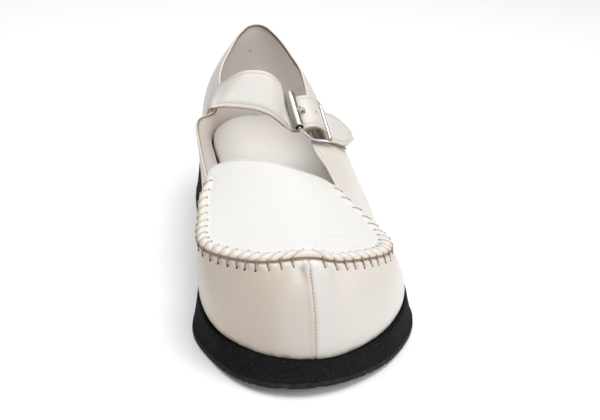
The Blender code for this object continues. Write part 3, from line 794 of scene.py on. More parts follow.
def shell(blank, top, bottom, finishes=(0, 1, 2), bulge=0.25, **marks):
    """A closed sheet between two grids of points, with a rounded rim."""
    rows, columns = top.shape[:2]
    size = rows * columns
    edge = border(rows, columns)
    over, under = top.reshape(-1, 3), bottom.reshape(-1, 3)
    normal = grid_normals(top).reshape(-1, 3)[edge]
    tangent = unit(np.roll(over[edge], -1, 0) - np.roll(over[edge], 1, 0))
    away = unit(np.cross(tangent, normal))
    thickness = np.linalg.norm(over[edge] - under[edge], axis=1, keepdims=True)
    middle = (over[edge] + under[edge]) / 2 + away * thickness * bulge
    ring = 2 * size + np.arange(len(edge))
    after = np.roll(ring, -1)
    upper = np.stack([edge, np.roll(edge, -1), after, ring], -1)
    lower = np.stack([ring, after, size + np.roll(edge, -1), size + edge], -1)
    quads = weave(rows, columns)
    faces = np.concatenate([quads, quads[:, ::-1] + size, upper, lower])
    rim = np.broadcast_to(finishes[2], len(edge))
    finish = np.concatenate([
        np.full(len(quads), finishes[0]), np.full(len(quads), finishes[1]), rim, rim,
    ])
    spread = {
        key: np.concatenate([value.ravel(), value.ravel(), value.ravel()[edge]])
        for key, value in marks.items()
    }
    blank.add(np.concatenate([over, under, middle]), faces, finish, **spread)


def sweep(path, radius, sides, closed=False, hint=None, squash=1.0):
    """Points and faces of a round cord along a path, with flat ends."""
    path = np.asarray(path, float)
    count = len(path)
    radius = np.broadcast_to(np.asarray(radius, float), count)
    if closed:
        tangents = unit(np.roll(path, -1, 0) - np.roll(path, 1, 0))
    else:
        tangents = unit(np.gradient(path, axis=0))
    side = np.array(hint if hint is not None else (0.31, 0.52, 0.80))
    points = []
    angles = np.arange(sides) * 2 * pi / sides
    for place, tangent, r in zip(path, tangents, radius):
        side = unit(side - tangent * side.dot(tangent))
        other = np.cross(tangent, side)
        ring = np.outer(np.cos(angles), side) * squash + np.outer(np.sin(angles), other)
        points.append(place + ring * r)
    faces = [tuple(f) for f in weave(count, sides, closed, True)]
    if not closed:
        faces.append(tuple(range(sides)))
        faces.append(tuple(range((count - 1) * sides, count * sides)))
    return np.concatenate(points), faces


def sewn_row(blank, path, normals, pitch, length, radius, low=0.0):
    """Machine stitches along a path on a surface: short threads that dive at both ends."""
    run = run_along(path)
    shares = np.array((0.0, 0.16, 0.5, 0.84, 1.0))
    lifts = np.array((-0.30, 0.07, 0.15, 0.07, -0.30))
    for k in range(int(run[-1] // pitch)):
        places = k * pitch + (pitch - length) / 2 + shares * length
        spots, ups = read_at(places, run, path), unit(read_at(places, run, normals))
        cord = sweep(spots + ups * lifts[:, None], radius, 6, hint=ups[0], squash=0.8)
        blank.add(*cord, low=low)


def disc(centre, normal, along, long, wide, rise=0.05, sides=10):
    """A small low dome, such as a dark disc of painted shade where a hole is."""
    along = unit(along - normal * normal.dot(along))
    across = np.cross(normal, along)
    points = [centre + normal * rise]
    for share, lift in ((0.6, 0.8), (1.0, -1.5)):
        for k in range(sides):
            a = 2 * pi * k / sides
            spot = centre + (along * cos(a) * long + across * sin(a) * wide) * share
            points.append(spot + normal * rise * lift)
    faces = [(0, 1 + k, 1 + (k + 1) % sides) for k in range(sides)]
    for k in range(sides):
        n = (k + 1) % sides
        faces.append((1 + k, 1 + sides + k, 1 + sides + n, 1 + n))
    faces.append(tuple(range(1 + sides, 1 + 2 * sides)))
    return np.array(points), faces


def drop_on(tree, guess):
    """Point of a finished surface straight below or above a guess, and its normal."""
    spot, normal, _, _ = tree.ray_cast(Vector(guess) + Vector((0, 0, 12)), Vector((0, 0, -1)))
    return np.array(spot), np.array(normal)


def on_skin(tree, guess):
    """Nearest point of a finished surface, and its normal turned to the guess's side."""
    spot, normal, _, _ = tree.find_nearest(Vector(guess))
    return np.array(spot), np.array(normal)


# ---------------------------------------------------------------- shader helpers
class Wire:
    """A number in a recipe; sums, products and the like of it add Math nodes."""

    def __init__(self, recipe, socket):
        self.recipe, self.socket = recipe, socket

    def math(self, operation, *values):
        return self.recipe.node("ShaderNodeMath", {"operation": operation}, *values)

    def __add__(self, other):
        return self.math("ADD", self, other)

    def __sub__(self, other):
        return self.math("SUBTRACT", self, other)

    def __rsub__(self, other):
        return self.math("SUBTRACT", other, self)

    def __mul__(self, other):
        return self.math("MULTIPLY", self, other)

    __radd__ = __add__
    __rmul__ = __mul__


class Recipe:
    """The nodes of one material."""

    def __init__(self, name):
        self.material = bpy.data.materials.new(name)
        self.material.use_nodes = True
        self.tree = self.material.node_tree
        self.shader = self.tree.nodes["Principled BSDF"]
        self.place = self.node("ShaderNodeTexCoord", out="Object")

    def node(self, kind, settings=None, *values, out=0, **named):
        """Add a node: settings first, then its sockets by order or by name."""
        node = self.tree.nodes.new(kind)
        for key, value in (settings or {}).items():
            setattr(node, key, value)
        for socket, value in zip(node.inputs, values):
            self.feed(socket, value)
        for key, value in named.items():
            self.feed(node.inputs[key.replace("_", " ")], value)
        return Wire(self, node.outputs[out])

    def feed(self, socket, value):
        if isinstance(value, Wire):
            self.tree.links.new(value.socket, socket)
        elif value is not None:
            socket.default_value = value

    def blend(self, factor, first, second):
        """Colour between two colours."""
        node = self.tree.nodes.new("ShaderNodeMix")
        node.data_type = "RGBA"
        for index, value in ((0, factor), (6, first), (7, second)):
            if isinstance(value, Wire):
                self.feed(node.inputs[index], value)
            else:
                node.inputs[index].default_value = value if index == 0 else rgba(value)
        return Wire(self, node.outputs[2])

    def noise(self, scale, detail=3.0, roughness=0.55, stretch=None):
        place = self.place
        if stretch:
            place = self.node("ShaderNodeMapping", None, place, Scale=stretch)
        return self.node(
            "ShaderNodeTexNoise", None, Vector=place, Scale=scale, Detail=detail,
            Roughness=roughness,
        )

    def cells(self, scale):
        return self.node("ShaderNodeTexVoronoi", None, Vector=self.place, Scale=scale)

    def ramp(self, value, low, high):
        """0 where the value is below low, 1 where it is above high."""
        ramp = self.node("ShaderNodeValToRGB", None, value)
        for element, position in zip(ramp.socket.node.color_ramp.elements, (low, high)):
            element.position = position
        return ramp

    def mottle(self, value, low, high, first, second):
        """The first colour, and the second one in patches where the value is high."""
        return self.blend(self.ramp(value, low, high), first, second)

    def mark(self, name):
        """A number that the mesh itself carries, such as how close an edge is."""
        return self.node("ShaderNodeAttribute", {"attribute_name": name}, out="Fac")

    def bump(self, height, distance, strength=1.0):
        return self.node(
            "ShaderNodeBump", None, Height=height, Distance=distance, Strength=strength,
            out="Normal",
        )

    def finish(self, **sockets):
        for key, value in sockets.items():
            socket = self.shader.inputs[key.replace("_", " ")]
            if isinstance(value, Wire):
                self.feed(socket, value)
            else:
                socket.default_value = rgba(value) if key == "Base_Color" else value
        return self.material


def rgba(colour):
    return (*tuple(colour)[:3], 1.0)


# ---------------------------------------------------------------- materials
def leather(look, warm, cool, name):
    """Smooth, coated, semi-gloss leather, warm along cut edges and where it is glued, with
    painted warm shade in the stitches' puckers and a greyed toe that is partly painted shade.
    """
    r = Recipe(name)
    cloud = r.noise(22.0, 4.0)
    fine = r.noise(160.0, 3.0)
    colour = r.mottle(cloud, 0.35, 0.65, warm, cool)
    # Greyed toe: partly yellowed leather, partly painted shade.
    colour = r.blend(r.mark("aged"), colour, look.aged)
    # Painted warm shade in the puckers that the stitches draw in.
    colour = r.blend(r.mark("pull") * 0.62, colour, look.pucker_shade_colour)
    colour = r.blend(r.mark("cut") * (0.35 + fine * 0.7), colour, look.yellowed)
    # Dirt and glue along the foot, with painted shade in the join and round the toe's seam,
    # broken up by fine noise.
    soil = r.mark("soil") * r.ramp(fine, 0.38, 0.66)
    colour = r.blend(soil, colour, look.soil)
    specks = r.ramp(r.noise(420.0, 1.0), 0.785, 0.81) * 0.4
    colour = r.blend(specks, colour, look.soil)
    pores = r.cells(1500.0)
    grain = r.noise(900.0, 4.0, 0.6)
    wrinkle = r.noise(120.0, 2.0, 0.5, stretch=(1.0, 0.35, 1.0))
    height = grain * 0.5 + pores * 0.4 + wrinkle * 0.8
    rough = look.leather_roughness + cloud * 0.10 + fine * 0.06
    return r.finish(
        Base_Color=colour, Roughness=rough, Normal=r.bump(height, 0.00010, 0.32),
        Coat_Weight=0.10, Coat_Roughness=0.22, Specular_IOR_Level=0.45,
    )


def raw_edge(light, dark, name):
    """Cut, fibrous side of the leather."""
    r = Recipe(name)
    fibre = r.noise(1400.0, 3.0, 0.7)
    patch = r.noise(90.0, 2.0)
    colour = r.mottle(fibre * 0.6 + patch * 0.5, 0.38, 0.72, dark, light)
    return r.finish(
        Base_Color=colour, Roughness=0.86, Normal=r.bump(fibre, 0.0002, 0.7),
        Specular_IOR_Level=0.25,
    )


def thread(name, light, low, dark):
    """Waxed thread, twisted from strands, dirtier towards its lower end."""
    r = Recipe(name)
    strand = r.noise(2600.0, 2.0, 0.6)
    length = r.noise(70.0, 2.0)
    colour = r.blend(r.mark("low"), light, low)
    strands = r.ramp(strand * 0.5 + length * 0.6, 0.4, 0.75)
    colour = r.blend(strands * 0.45, colour, dark)
    return r.finish(
        Base_Color=colour, Roughness=0.62, Normal=r.bump(strand, 0.00016, 0.6),
        Specular_IOR_Level=0.3,
    )


def hole(look):
    """Near-black painted shade standing in for holes: needle holes, the heel's lining hole
    and the roller's bore.
    """
    r = Recipe("needle_hole_shade")
    colour = r.blend(r.noise(900.0, 2.0), look.hole, look.edge_dark)
    return r.finish(Base_Color=colour, Roughness=0.95, Specular_IOR_Level=0.1)


def lining(look):
    """Grey-beige lining leather with a fine print and faint wear."""
    r = Recipe("lining_leather")
    patch = r.noise(28.0, 4.0)
    wear = r.noise(110.0, 3.0)
    colour = r.mottle(patch, 0.32, 0.7, look.lining, look.lining_worn)
    colour = r.blend(r.mark("cut") * 0.7, colour, look.edge)
    colour = r.blend(r.ramp(wear, 0.62, 0.78) * 0.3, colour, look.lining_stain)
    grain = r.cells(1300.0) * 0.6 + r.noise(700.0, 3.0) * 0.5
    return r.finish(
        Base_Color=colour, Roughness=0.50 + wear * 0.14, Normal=r.bump(grain, 0.0001, 0.35),
        Specular_IOR_Level=0.4,
    )


def insole_cover(look):
    """Pale, smooth insole cover, dulled where the foot rests, with painted shade round its
    rim.
    """
    r = Recipe("insole_cover")
    patch = r.noise(24.0, 3.0)
    fine = r.noise(260.0, 3.0)
    colour = r.mottle(patch, 0.35, 0.7, look.insole, look.insole_worn)
    # Stain colour where the foot rests, and as painted shade along the rim.
    colour = r.blend(r.mark("soil") * (0.4 + fine * 0.8), colour, look.lining_stain)
    grain = r.cells(1200.0) * 0.5 + r.noise(600.0, 3.0) * 0.5
    return r.finish(
        Base_Color=colour, Roughness=0.55 + fine * 0.12, Normal=r.bump(grain, 0.0001, 0.3),
        Specular_IOR_Level=0.35,
    )


def foam(look):
    """Closed black foam: matt, with a fine speckle of pores."""
    r = Recipe("black_foam")
    pores = r.cells(950.0)
    fleck = r.ramp(r.noise(1300.0, 2.0, 0.7), 0.56, 0.72)
    patch = r.ramp(r.noise(60.0, 3.0), 0.35, 0.75)
    colour = r.blend(fleck * 0.75, look.foam, look.foam_fleck)
    colour = r.blend(patch * 0.35, colour, look.foam_dusty)
    height = r.noise(1000.0, 4.0, 0.7) + pores * 0.6
    return r.finish(
        Base_Color=colour, Roughness=0.94 - fleck * 0.1, Normal=r.bump(height, 0.0004, 0.6),
        Specular_IOR_Level=0.12,
    )


def tread_rubber(look):
    """Thin rubber tread, slightly greyer than the foam and scuffed."""
    r = Recipe("tread_rubber")
    scuff = r.noise(300.0, 4.0, 0.65)
    scuffed = r.ramp(scuff, 0.45, 0.75)
    colour = r.blend(scuffed, look.rubber, look.rubber_scuffed)
    return r.finish(
        Base_Color=colour, Roughness=0.74 + scuff * 0.12, Normal=r.bump(scuff, 0.0003, 0.5),
        Specular_IOR_Level=0.2,
    )


def steel(look):
    """Nickelled steel with hairline wear, a little brown tarnish, and a painted brown
    reflection of the strap on the roller.
    """
    r = Recipe("nickelled_steel")
    hair = r.noise(500.0, 3.0, 0.6, stretch=(1.0, 0.2, 0.3))
    tarnish = r.ramp(r.noise(240.0, 4.0), 0.55, 0.78)
    # Painted reflection of the strap: browner, rougher and less metallic where the roller
    # faces it.
    painted_reflection = r.mark("soil") * (0.75 + hair * 0.3)
    colour = r.blend(tarnish * 0.35, look.steel, look.tarnish)
    colour = r.blend(painted_reflection, colour, look.tarnish)
    rough = look.steel_roughness + hair * 0.08 + tarnish * 0.12 + painted_reflection * 0.2
    return r.finish(
        Base_Color=colour, Roughness=rough, Metallic=1.0 - painted_reflection * 0.8,
        Normal=r.bump(hair, 0.00004, 0.4),
    )


# ---------------------------------------------------------------- settings
def colour_setting(name, description, default):
    return FloatVectorProperty(
        name=name, description=description, default=default, size=3, min=0, max=1,
        subtype="COLOR",
    )


def number_setting(name, description, default, low=0.0, high=1.0, **kind):
    return FloatProperty(
        name=name, description=description, default=default, min=low, max=high, **kind
    )


class ShoeLook(bpy.types.PropertyGroup):
    """Colours and gloss of the shoe's materials."""

    ivory: colour_setting("Leather", "Main colour of the leather", (0.775, 0.76, 0.73))
    ivory_cool: colour_setting("Cool leather", "Cooler clouds in it", (0.765, 0.764, 0.748))
    strap: colour_setting("Strap", "Leather of strap and tab", (0.68, 0.64, 0.59))
    strap_cool: colour_setting("Cool strap", "Cooler clouds in it", (0.67, 0.645, 0.61))
    # Colour of the painted warm shade in the stitches' puckers.
    pucker_shade_colour: colour_setting("Pulled leather", "Where stitches pull it", (0.66, 0.49, 0.36))
    yellowed: colour_setting("Aged edge", "Along cut edges", (0.70, 0.58, 0.43))
    # Colour of the greyed toe, which is partly yellowed leather and partly painted shade.
    aged: colour_setting("Aged leather", "Greyed and yellowed toe", (0.70, 0.60, 0.50))
    # Dark brown of specks and dirt, also used for painted shade along the foot and round the
    # toe's seam.
    soil: colour_setting("Soil", "Specks and glue marks", (0.34, 0.25, 0.17))
    edge: colour_setting("Raw edge", "Cut side of the leather", (0.46, 0.33, 0.245))
    edge_dark: colour_setting("Raw edge, dark", "Its darker fibres", (0.27, 0.18, 0.125))
    edge_pale: colour_setting("Pale edge", "Painted cut edge", (0.58, 0.45, 0.32))
    edge_pale_dark: colour_setting("Pale edge, worn", "Where it is worn", (0.36, 0.26, 0.18))
    edge_collar: colour_setting("Collar edge", "Cut inside the collar", (0.31, 0.235, 0.18))
    thread: colour_setting("Cord", "Whip-stitch cord on the apron", (0.62, 0.51, 0.40))
    thread_low: colour_setting("Cord, low", "Its dirtier lower end", (0.34, 0.25, 0.18))
    thread_dark: colour_setting("Cord, dark", "Between its strands", (0.27, 0.20, 0.145))
    fine_thread: colour_setting("Thread", "Machine thread", (0.63, 0.53, 0.44))
    cream_thread: colour_setting("Cream thread", "Thread of the collar", (0.72, 0.66, 0.58))
    # Near-black painted shade for holes and for the roller's bore.
    hole: colour_setting("Hole", "Inside of needle holes", (0.035, 0.022, 0.015))
    lining: colour_setting("Lining", "Inside leather", (0.90, 0.855, 0.815))
    lining_worn: colour_setting("Worn lining", "Where it is rubbed", (0.90, 0.875, 0.85))
    lining_stain: colour_setting("Stain", "Faint stains inside", (0.50, 0.42, 0.35))
    insole: colour_setting("Insole", "Insole cover", (0.90, 0.88, 0.86))
    insole_worn: colour_setting("Worn insole", "Under the foot", (0.85, 0.83, 0.81))
    foam: colour_setting("Foam", "Black foam of the sole", (0.0085, 0.0083, 0.0087))
    foam_fleck: colour_setting("Foam fleck", "Light pores", (0.058, 0.056, 0.058))
    foam_dusty: colour_setting("Foam dust", "Dusty patches", (0.022, 0.022, 0.023))
    rubber: colour_setting("Tread", "Rubber tread", (0.014, 0.014, 0.015))
    rubber_scuffed: colour_setting("Scuffed tread", "Where it rubs", (0.05, 0.05, 0.052))
    steel: colour_setting("Steel", "Nickelled steel", (0.73, 0.72, 0.70))
    # Also the colour of the painted reflection of the strap on the roller.
    tarnish: colour_setting("Tarnish", "Brown film on it", (0.37, 0.30, 0.25))
    leather_roughness: number_setting(
        "Leather roughness", "Lower is glossier", 0.30, subtype="FACTOR"
    )
    steel_roughness: number_setting(
        "Steel roughness", "Lower is brighter", 0.20, subtype="FACTOR"
    )


class ShoeSewing(bpy.types.PropertyGroup):
    """Sizes of cords, threads and needle holes."""

    cord: number_setting("Cord radius", "Whip-stitch cord, mm", 0.43, 0.1, 1.0)
    thread: number_setting("Thread radius", "Machine thread, mm", 0.15, 0.05, 0.6)
    pitch: number_setting("Machine pitch", "From stitch to stitch, mm", 1.9, 1.0, 6.0)
    # Size of the dark disc that is painted in as a lower hole's shade.
    hole: number_setting("Hole radius", "Lower hole of a whip stitch, mm", 0.74, 0.1, 2.0)


class ShoeStage(bpy.types.PropertyGroup):
    """Camera and light."""

    lens: number_setting("Lens", "Focal length", 79.0, 20, 200, unit="CAMERA")
    pan: number_setting(
        "Pan", "Turn of the camera to the shoe", radians(-4.55), -pi, pi, subtype="ANGLE"
    )
    tilt: number_setting(
        "Tilt", "Tilt of the camera to the shoe", radians(0.35), -pi, pi, subtype="ANGLE"
    )
    light: number_setting("Light", "Strength of all softboxes together", 1.0, 0, 100)
    air: number_setting(
        "Surrounding light", "Strength of the pale wall on the lateral side", 0.32, 0, 100
    )


# ---------------------------------------------------------------- upper
def wall_columns(count):
    """Turns spaced evenly along the wall, and closer where it is gathered."""
    turns = np.linspace(-180, 180, 1441)
    line = wall_point(turns, 0.85)
    steps = np.linalg.norm(np.diff(line, axis=0), axis=1)
    steps = steps * (1 + 0.55 * apron_share((turns[1:] + turns[:-1]) / 2))
    run = np.concatenate([[0], np.cumsum(steps)])
    return np.interp(np.arange(count) / count * run[-1], run, turns)


def make_wall():
    """Outer leather of the wall and quarters, folded over at the collar."""
    turns = wall_columns(900)
    sewn = apron_share(turns)
    rim = LEATHER / 2
    lower = rim * 0.9 * (1 - sewn) + (ridge(turns).edge / 2 + 0.5) * sewn
    last_up = 1 - lower / from_foot(turns)
    shares = 1 - (1 - np.linspace(0, 1, 56)) ** 1.3
    ups = shares[:, None] * last_up[None, :]
    outer = wall_skin(turns[None, :], ups)
    normal = wall_normal(turns, last_up)
    upwards = unit(wall_point(turns, last_up) - wall_point(turns, last_up - 0.03))
    # The sewn top is tucked under the apron.
    tuck = sewn * 0.35 * smooth(ups, 0.93, 1.0)
    outer -= normal[None] * tuck[..., None]
    crest = outer[-1] - normal * rim
    arc = [crest + normal * rim * cos(a) + upwards * rim * 0.9 * sin(a)
           for a in np.radians((22, 45, 68, 90, 112, 135, 158, 180))]
    inside = [arc[-1] - upwards * down for down in (0.5, COLLAR_CUT, 2.4)]
    deep = [above_wall(turns, up, -LEATHER) for up in np.linspace(0.9, 0.0, 9)]
    loop = np.concatenate([outer, arc, inside, deep])
    rows = len(loop)
    finish = np.zeros((rows, len(turns)), int)
    finish[len(outer) + 4:len(outer) + len(arc) + 2] = np.where(sewn > 0.5, 1, 2)[None, :]
    faces = weave(rows, len(turns), True, True)
    pull, cut, soil, aged = wall_marks(turns, ups)
    pad = rows - len(ups)

    def padded(mark, value=0.0):
        return np.concatenate([mark, np.full((pad, len(turns)), value)]).ravel()

    blank = Blank()
    blank.add(
        loop, faces, finish.ravel(),
        pull=padded(pull), cut=padded(cut, 0.5), soil=padded(soil), aged=padded(aged),
    )
    return blank


def wall_marks(turns, ups):
    """Where the wall's leather is pulled, aged along an edge, or soiled."""
    turn, up = np.broadcast_arrays(turns[None, :], ups)
    run = SEAM.run_at(turn)
    down, foot = from_rim(turn, up), from_foot(turn, up)
    sewn = apron_share(turn)
    depth = ridge(turn).depth
    near = SEAM.to_stitch(run)
    # Painted warm shade in the puckers round each lower hole and in the hollow under the
    # seam; a warm line also runs down the toe's seam.
    pull = sewn * (0.55 * bell(near, 1.1) * (1 - smooth(down, depth, depth + 2.5)))
    pull += sewn * 0.5 * bell(down, 1.6)
    front = 1 - smooth(np.abs(run), 4, 9)
    pull += front * 0.30 * bell(run + 0.2, 1.6) + front * 0.35 * bell(run, 0.5)
    cut = (1 - sewn) * (0.7 * bell(down, 1.6) + 0.25 * bell(down - EDGE_ROW, 0.7))
    # Dirt, with painted shade in the join, lies along the foot, more at the toe; the painted
    # shade reaches furthest up on its medial side.
    medial = window(-run, 25, 48, 85, 130)
    soil = 0.6 * np.exp(-foot / 1.0) + 0.75 * bell(run, 45) * np.exp(-foot / 1.9)
    soil += 0.45 * medial * np.exp(-foot / 2.6)
    # Painted shade in the dent beside the top of the toe's seam, and darker along the seam
    # itself.
    soil += patches(TOE_DARKENING, run, down)
    # The toe is greyed on the medial side, partly yellowed leather and partly painted shade,
    # up to a soft line that slants to the seam's top; it is less grey between that line and
    # the seam, and least on the lateral side.
    line = 4 + 8 * smooth(down, 5, 20)
    grey = smooth(-run, line, line + 7)
    beside_seam = smooth(-run, -1.5, 0.5) * (1 - grey) * smooth(down, 3, 9)
    lateral = window(run, 1, 10, 110, 200)
    aged = 0.92 * grey * (1 - smooth(-run, 45, 150)) + 0.55 * beside_seam
    aged += (0.5 - 0.17 * smooth(down, 8, 24)) * lateral
    aged *= smooth(down, 0.5, 4)
    return tuple(np.clip(mark, 0, 1) for mark in (pull, cut, soil, aged))


def medial_inset(y):
    """How far the insole stays in from the upper's foot on the medial side."""
    return INSET + WAIST_INSET * bell(y - WAIST_Y, WAIST_REACH)


def make_lining():
    """Lining of wall and quarters, with its heel seam, set inside the leather."""
    turns = wall_columns(420)
    height = from_foot(turns)
    sewn = apron_share(turns)
    lower = COLLAR_CUT * (1 - sewn) + 1.6 * sewn
    last_up = 1 - lower / height
    shares = np.linspace(0, 1, 34)
    ups = shares[:, None] * last_up[None, :]
    turn = np.broadcast_to(turns[None, :], ups.shape)
    base, normal = wall_point(turn, ups), wall_normal(turn, ups)
    heel = (signed(turn + 180)) * 1.05
    seam = 0.45 * bell(heel - 0.9, 0.8) - 0.25 * bell(heel, 0.4)
    waves = 0.16 * np.sin(np.radians(turn) * 7 + 4 * ups) * smooth(ups, 0.1, 0.4)
    # On the medial side the lining runs in to the insole, as a cove.
    medial = window(-signed(turn), 40, 70, 150, 170)
    cove = COVE_SHARE * medial_inset(base[..., 1]) - COVE_START
    cove = cove * medial * (1 - smooth(ups, 0.1, 0.6))
    inner = base - normal * (LINING_IN + seam + waves)[..., None]
    inner -= outward(feather_edge, turn) * np.maximum(cove, 0)[..., None]
    outer = base - normal * LINING_OUT
    middle = (inner[-1] + outer[-1]) / 2
    top = middle + unit(inner[-1] - inner[-2]) * 0.22
    loop = np.concatenate([inner, top[None], outer[::-4]])
    rows = len(loop)
    cut = np.zeros((rows, len(turns)))
    down = (1 - ups) * height[None, :] - lower[None, :]
    # The whole medial side of the lining is also tinted browner, painted shade of the dim gap
    # beside the insole.
    cut[:len(ups)] = np.clip(0.9 * bell(down, 0.7) + 0.36 * medial, 0, 1)
    cut[len(ups):] = 0.9
    blank = Blank()
    blank.add(loop, weave(rows, len(turns), True, True), 0, cut=cut.ravel())
    return blank


def apron_grid(rows=190, columns=230):
    """The apron's upper face, its marks, and its under face."""
    across, ahead = np.meshgrid(np.linspace(0, 1, columns), np.linspace(0, 1, rows))
    base = apron_base(across, ahead)
    flat = base.reshape(-1, 3)
    distance, run = SEAM.near(flat)
    relief, pull = apron_relief(flat, distance, run)
    normal = unit(np.array((0, 0, 0.6)) - grid_normals(base))
    gather = SEAM.gather(run).reshape(rows, columns)
    inward = plan_inward(run).reshape(rows, columns, 3)
    distance = distance.reshape(rows, columns)
    edge = ridge(SEAM.turn(run)).edge.reshape(rows, columns)
    top = base + normal * relief.reshape(rows, columns)[..., None]
    scallop = (0.45 * gather - 0.1) * np.exp(-distance / 1.6)
    top -= inward * scallop[..., None]
    thick = edge + (APRON_THICK - edge) * smooth(distance, 0, 3)
    back = throat_distance(flat).reshape(rows, columns)
    bottom = top - np.array((0, 0, 1.0)) * thick[..., None]
    cut = 0.55 * bell(distance, 0.9) + 0.6 * bell(back, 0.8)
    cut += 0.2 * bell(back - THROAT_ROW, 0.5)
    return top, bottom, pull.reshape(rows, columns), np.clip(cut, 0, 1)


def plan_inward(run):
    """Direction in plan from the seam over the apron, at many places."""
    turn = SEAM.turn(run)
    along = TOP_XYZ.at(turn + 0.5) - TOP_XYZ.at(turn - 0.5)
    return unit(np.stack([-along[..., 1], along[..., 0], np.zeros_like(turn)], -1))


def make_apron():
    """Apron, and its upper face for the stitches along the throat."""
    top, bottom, pull, cut = apron_grid()
    rows, columns = top.shape[:2]
    edge = border(rows, columns)
    # The throat's edge is painted; the rest of the rim is the raw edge at the seam.
    throat = (edge < columns) & (np.roll(edge, -1) < columns)
    rim = np.where(throat, 3, 2)
    blank = Blank()
    shell(blank, top, bottom, (0, 1, rim), bulge=0.12, pull=pull, cut=cut)
    return blank, top


# ---------------------------------------------------------------- whip stitches
def whip_path(run, apron, wall, dice):
    """Cord from its hole on the apron, over the edge, down to its hole in the wall."""
    here, along, inward = SEAM.frame_at(run)
    size = ridge(SEAM.turn(run))
    reach = size.band * dice.uniform(0.86, 0.98)
    lean = size.slant * SLANT_EASE * reach
    path = []
    for share, lift in CORD_ON_APRON:
        bow = 0.12 * lean * sin(pi * share)
        guess = here + inward * reach * share + along * (lean * share + bow)
        path.append((*drop_on(apron, guess), lift))
    for up, tilt in ((size.edge / 2, 1.0), (-size.edge / 2, -0.15)):
        corner = here - inward * 0.1 + np.array((0, 0, up))
        path.append((corner, unit(np.array((0, 0, tilt)) - inward), CORD_AT_EDGE))
    drift = dice.uniform(-0.12, 0.12)
    for share, lift in CORD_ON_WALL:
        down = size.depth * share
        guess = here - inward * 1.2 + along * down * drift - np.array((0, 0, down))
        path.append((*on_skin(wall, guess), lift))
    return path


def make_whip_stitches(apron, wall, sewing):
    """All the cords of the apron seam, and dark discs of painted shade where their holes are.
    """
    cords, holes = Blank(), Blank()
    dice = Random(CORD_SEED)
    for run in SEAM.stitches:
        path = whip_path(run, apron, wall, dice)
        rear = smooth(SEAM.turn(run), *DASHES)
        lift_share = 1 - 0.6 * rear * (np.arange(len(path)) >= len(CORD_ON_APRON))
        spots = [spot + normal * lift * share
                 for (spot, normal, lift), share in zip(path, lift_share)]
        places = np.linspace(0, 1, 30)
        fine = chord_spline(spots).at(places)
        thick = 0.66 + 0.34 * smooth(places, 0.05, 0.5) - 0.22 * smooth(places, 0.75, 0.95)
        low = np.maximum(smooth(places, 0.45, 0.85), 0.8 * (run == SEAM.stitches[0]))
        # Towards the lateral throat the stitches shrink to short dashes.
        hump = np.sin(pi * places ** 0.75)
        thick = thick + rear * (0.35 + 0.95 * hump - thick)
        low = low + rear * (0.75 * hump - low)
        cord = sweep(fine, sewing.cord * dice.uniform(0.92, 1.08) * thick, CORD_SIDES)
        cords.add(*cord, low=np.repeat(low, CORD_SIDES))
        # Each hole is a dark disc on the leather, not cut through: painted shade of the hole.
        for tree, index, size in ((apron, 0, UPPER_HOLE), (wall, -1, 1.0)):
            size *= 1 - 0.5 * rear
            spot = path[index][0]
            along = unit(path[1 if index == 0 else -2][0] - spot)
            spot, normal = on_skin(tree, spot - along * 0.8 * size)
            long, wide = sewing.hole * size * 1.25, sewing.hole * size
            holes.add(*disc(spot, normal, along, long, wide, 0.1))
    return cords, holes


# ---------------------------------------------------------------- machine stitches
def collar_row():
    """Row below the collar's rim, from one end of the throat round the heel to the other."""
    turns = np.linspace(THROAT_TURN + 3, 360 - THROAT_TURN - 3, 900)
    ups = 1 - EDGE_ROW / from_foot(turns)
    return wall_skin(turns, ups), wall_normal(turns, ups)


def throat_row(top):
    """Row along the apron's free edge."""
    columns = top.swapaxes(0, 1)[6:-6]
    row = [read_at(THROAT_ROW, run_along(line), line) for line in columns]
    return np.array(row), -grid_normals(top)[5][6:-6]


def front_row():
    """Row down the toe, in the seam where the two halves of the wall meet."""
    up = np.linspace(0.90, 0.01, 200)
    turns = SEAM.turn(SEAM_LEAN * from_rim(0.0, up))
    return wall_skin(turns, up), wall_normal(turns, up)


# ---------------------------------------------------------------- strap and tab
def strap_line():
    """Centre and half width of the strap, from its sewn end to its tip."""
    edges = []
    lift = 1.5 * GAP + STRAP_THICK / 2
    for row in STRAP_SEWN:
        turns = (row.front_turn, row.rear_turn)
        edges.append([above_wall(turn, row.up, lift) for turn in turns])
    edges += [(np.array(row[:3]), np.array(row[3:])) for row in STRAP_OPEN]
    for row in STRAP_WEAVE:
        edges.append([buckle_point(*row, side * STRAP_WIDTH / 2) for side in (-1, 1)])
    rows = [(*((front + rear) / 2), *((rear - front) / 2)) for front, rear in edges]
    return chord_spline(rows)


def strap_grid(stations=260, columns=40):
    """Middle surface of the strap: rows along it, columns from front edge to rear edge."""
    places = np.linspace(0, 1, stations)
    rows = strap_line().at(places)
    centre, half = rows[:, :3], rows[:, 3:]
    taper = np.minimum(1, (1 - places) / TIP_SHARE)
    half = half * (TIP_NOSE + (1 - TIP_NOSE) * np.sin(pi / 2 * taper))[:, None]
    angles = np.linspace(-pi / 2, pi / 2, columns) * EDGE_CROWDING
    shares = np.sin(angles) / sin(pi / 2 * EDGE_CROWDING)
    grid = centre[:, None] + half[:, None] * shares[None, :, None]
    width = np.linalg.norm(half, axis=1)[:, None] * (1 - np.abs(shares))[None, :]
    to_tip = run_along(centre[::-1])[::-1]
    return grid, np.minimum(width, to_tip[:, None]), places


